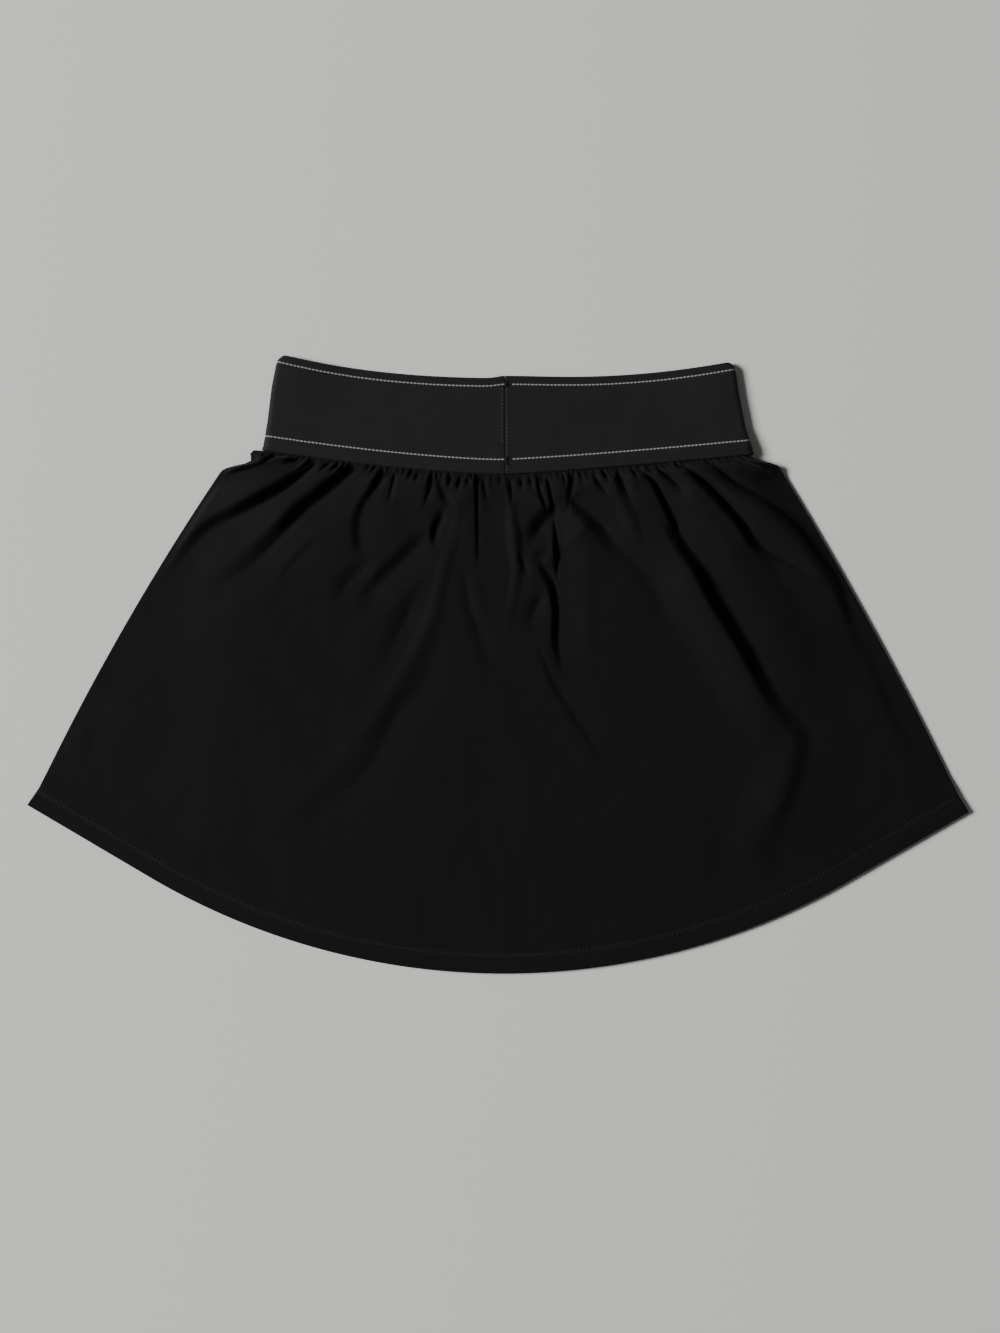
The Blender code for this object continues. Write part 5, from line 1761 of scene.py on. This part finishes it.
    def run_of(self, path: np.ndarray, stitch: Stitch,
               thread: bpy.types.Material) -> bpy.types.Mesh:
        """Stitches one line.

        Args:
            path: The line's points, in millimetres.
            stitch: The kind of stitch.
            thread: The thread's material.

        Returns:
            The stitches, as a plain mesh.
        """
        mesh = bpy.data.meshes.new("seam_path")
        style = stitch.value
        starts = range(0, len(path) - 1, 2 if style.paired else 1)
        mesh.from_pydata((path * MM).tolist(), [(start, start + 1) for start in starts], [])
        seam = placed("seam_path", mesh)
        modifier = seam.modifiers.new("stitches", "NODES")
        modifier.node_group = self.tree
        values = {
            "Pitch": style.pitch * MM, "Share": style.share, "Width": style.width * MM,
            "Height": style.height * MM, "Swing": style.swing * MM,
            "Unevenness": style.unevenness * MM, "Seed": style.seed, "Thread": thread,
        }
        for item in self.tree.interface.items_tree:
            if item.in_out == "INPUT" and item.name in values:
                modifier[item.identifier] = values[item.name]
        evaluated = seam.evaluated_get(bpy.context.evaluated_depsgraph_get())
        stitches = bpy.data.meshes.new_from_object(evaluated)
        bpy.data.objects.remove(seam)
        bpy.data.meshes.remove(mesh)
        return stitches

    def piece(self, name: str, runs: list[tuple[np.ndarray, Stitch]],
              thread: bpy.types.Material, slot: str) -> bpy.types.Object:
        """Joins the stitches of several lines into one piece.

        Args:
            name: The piece's name.
            runs: Each line and its kind of stitch.
            thread: The thread's material.
            slot: The name of the thread's material slot; it is not used.

        Returns:
            The piece, riding on the garment.
        """
        joined = bmesh.new()
        for path, stitch in runs:
            stitches = self.run_of(path, stitch, thread)
            joined.from_mesh(stitches)
            bpy.data.meshes.remove(stitches)
        mesh = bpy.data.meshes.new(name)
        joined.to_mesh(mesh)
        joined.free()
        mesh.materials.clear()
        mesh.materials.append(thread)
        mesh.shade_smooth()
        piece = placed(name, mesh)
        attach(piece, BODY)
        LOG.info("%s: %d faces", name, len(mesh.polygons))
        return piece


def laid_on(piece: bpy.types.Object, path: np.ndarray, lift: float,
            from_below: bool = False) -> np.ndarray:
    """Lays a line on the upper or lower face of a piece.

    Args:
        piece: The piece under or over the line.
        path: The line's points in plan, in millimetres.
        lift: How far the line stands off the face.
        from_below: Whether the line lies on the lower face.

    Returns:
        The line's points, without those that miss the piece.
    """
    tree = BVHTree.FromObject(piece, bpy.context.evaluated_depsgraph_get())
    side = -1.0 if from_below else 1.0
    points = []
    for x, y in path * MM:
        hit = tree.ray_cast(Vector((x, y, side)), Vector((0.0, 0.0, -side)))[0]
        if hit is not None:
            points.append((x / MM, y / MM, hit.z / MM + side * lift))
    return np.array(points)


# ---------------------------------------------------------------- the studio


@dataclass(frozen=True)
class AreaLight:
    """A soft square light that points at the garment."""

    name: str
    place: tuple[float, float, float]
    size: float
    watts: float

    def add(self) -> None:
        """Adds the light to the scene."""
        lamp = bpy.data.lights.new(self.name, "AREA")
        lamp.shape = "SQUARE"
        lamp.size = self.size
        lamp.energy = self.watts
        light = placed(self.name, lamp)
        light.location = self.place
        light.rotation_euler = (-Vector(self.place)).to_track_quat("-Z", "Y").to_euler()


@dataclass(frozen=True)
class Studio:
    """A pale floor, soft light from the left and a camera straight above, all in metres."""

    floor_half_size: float = 6.0
    floor_hex: str = "e4e3e0"
    floor_below: float = 0.0002
    floor_roughness: float = 0.9
    floor_specular: float = 0.1
    camera_place: tuple[float, float, float] = (0.0013, -0.00165, 1.45)
    seen_height: float = 0.880
    sensor: float = 36.0
    world_hex: str = "f2f2f2"
    world_strength: float = 0.06
    lights: tuple[AreaLight, ...] = (
        AreaLight("key", (-6.6, 0.9, 5.0), 2.75, 985.0),
        AreaLight("fill", (1.2, -0.6, 2.2), 1.5, 2.0),
    )

    def build(self) -> None:
        """Sets up the floor, the lights, the world and the camera."""
        self.lay_floor()
        for light in self.lights:
            light.add()
        world = bpy.data.worlds.new("studio")
        world.use_nodes = True
        background = world.node_tree.nodes["Background"]
        background.inputs["Color"].default_value = linear_from_hex(self.world_hex)
        background.inputs["Strength"].default_value = self.world_strength
        bpy.context.scene.world = world
        camera = bpy.data.cameras.new("above")
        camera.sensor_width = self.sensor
        camera.lens = self.sensor * self.camera_place[2] / self.seen_height
        seen_from = placed("above", camera)
        seen_from.location = self.camera_place
        bpy.context.scene.camera = seen_from

    def lay_floor(self) -> None:
        """Makes the plain pale floor."""
        plane = bmesh.new()
        bmesh.ops.create_grid(plane, x_segments=1, y_segments=1, size=self.floor_half_size)
        bmesh.ops.translate(plane, verts=plane.verts, vec=(0.0, 0.0, -self.floor_below))
        mesh = bpy.data.meshes.new("floor")
        plane.to_mesh(mesh)
        plane.free()
        paint, _ = new_material(
            "matt_floor_paint", base_color=linear_from_hex(self.floor_hex),
            roughness=self.floor_roughness, specular_ior_level=self.floor_specular)
        mesh.materials.append(paint)
        placed("floor", mesh)


# ---------------------------------------------------------------- the garment


@dataclass
class Skort:
    """The whole garment and its finishes."""

    sewing: Sewing = field(default_factory=Sewing)
    jersey: JerseyFinish = JerseyFinish("polyester_jersey", "050506", "090909")
    elastic: ElasticFinish = ElasticFinish("covered_elastic", "0b0b0c", "151516")
    stretch: JerseyFinish = JerseyFinish("elastane_jersey", "0a0a0b", "0f0f10", roughness=0.7)
    grey_thread: ThreadFinish = ThreadFinish("grey_polyester_thread", "9a9a9c", "77777a")
    black_thread: ThreadFinish = ThreadFinish("black_polyester_thread", "161617", "0c0c0d")
    # The centre-back seam's thread is black; its grey colour is a painted highlight for the light
    # that its stitches catch.
    seam_thread: ThreadFinish = ThreadFinish("faded_polyester_thread", "414143", "29292b")
    tack_thread: ThreadFinish = ThreadFinish("black_bonded_thread", "080809", "040405")

    def dress(self, shell: ClothShell, material: bpy.types.Material) -> bpy.types.Object:
        """Makes a shell's piece and lets it stand for its node.

        Args:
            shell: The cloth.
            material: Its finish.

        Returns:
            The piece.
        """
        piece = shell.piece(material)
        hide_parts(shell.name)
        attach(piece, BODY)
        LOG.info("%s: %d faces", piece.name, len(piece.data.polygons))
        return piece

    def skirt(self) -> None:
        """Builds both skirt panels with their hems' stitching."""
        cloth = self.jersey.material()
        thread = self.black_thread.material()
        panels = (
            SkirtPanel(Face.BACK, Relief(BACK_CREASES + gather_creases(BACK_GATHERS))),
            SkirtPanel(Face.FRONT, Relief(FRONT_CREASES + gather_creases(GatherRun().gathers())),
                       inset=0.997, columns=240, rows=80),
        )
        for panel in panels:
            piece = self.dress(panel.shell(), cloth)
            below = panel.face is Face.FRONT
            lines = []
            for row in HEM_ROWS:
                path = panel.hem_path(panel.needle_line + row.place * panel.needle_gap)
                lift = row.front_lift if below else row.back_lift
                lines.append((laid_on(piece, path, lift, below), row.stitch))
            hem = self.sewing.piece(f"{panel.name}_hem_stitches", lines, thread, "black_thread")

    def waistband(self) -> None:
        """Builds the waistband with its grey topstitching and its black seam stitching."""
        band = Waistband()
        piece = self.dress(band.shell(), self.elastic.material())
        grey = self.grey_thread.material()
        top = band.stitch_line(None, band.top_line)
        bottom = band.stitch_line(band.bottom_line, None)
        rows = self.sewing.piece("waistband_topstitching",
                                 [(top, Stitch.TOPSTITCH), (bottom, Stitch.TOPSTITCH)],
                                 grey, "grey_thread")
        rungs = [(band.seam_rungs(row), Stitch.RUNG) for row in band.ladder]
        seam = self.sewing.piece("waistband_seam_stitches", rungs, self.seam_thread.material(),
                                 "black_thread")
        closing = [(band.seam_line(band.closing), Stitch.CLOSING)]
        closing += [(band.seam_line(row), Stitch.BAR_TACK) for row in band.tacks]
        tacks = self.sewing.piece("waistband_closing_stitches", closing,
                                  self.tack_thread.material(), "black_thread")

    def shorts(self) -> None:
        """Builds the four panels of the inner shorts with their legs' stitching."""
        cloth = self.stretch.material()
        thread = self.black_thread.material()
        for face in Face:
            for side in (-1, 1):
                panel = ShortsPanel(face, side)
                piece = self.dress(panel.shell(), cloth)
                line = laid_on(piece, panel.hem_path(), panel.hem_lift)
                hem = self.sewing.piece(f"{panel.name}_hem_stitches",
                                        [(line, Stitch.NEEDLE_ROW)], thread, "black_thread")

    def build(self) -> None:
        """Builds every piece of the garment."""
        self.skirt()
        self.waistband()
        self.shorts()


def plain(box: object) -> list[list[float]]:
    """Turns a box of vectors to lists of numbers."""
    return [[float(number) for number in corner] for corner in box]


def main() -> None:
    """Loads the frame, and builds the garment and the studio."""
    logging.basicConfig(level=logging.INFO, format="%(name)s: %(message)s")
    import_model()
    Studio().build()
    Skort().build()


if __name__ == "__main__":
    main()
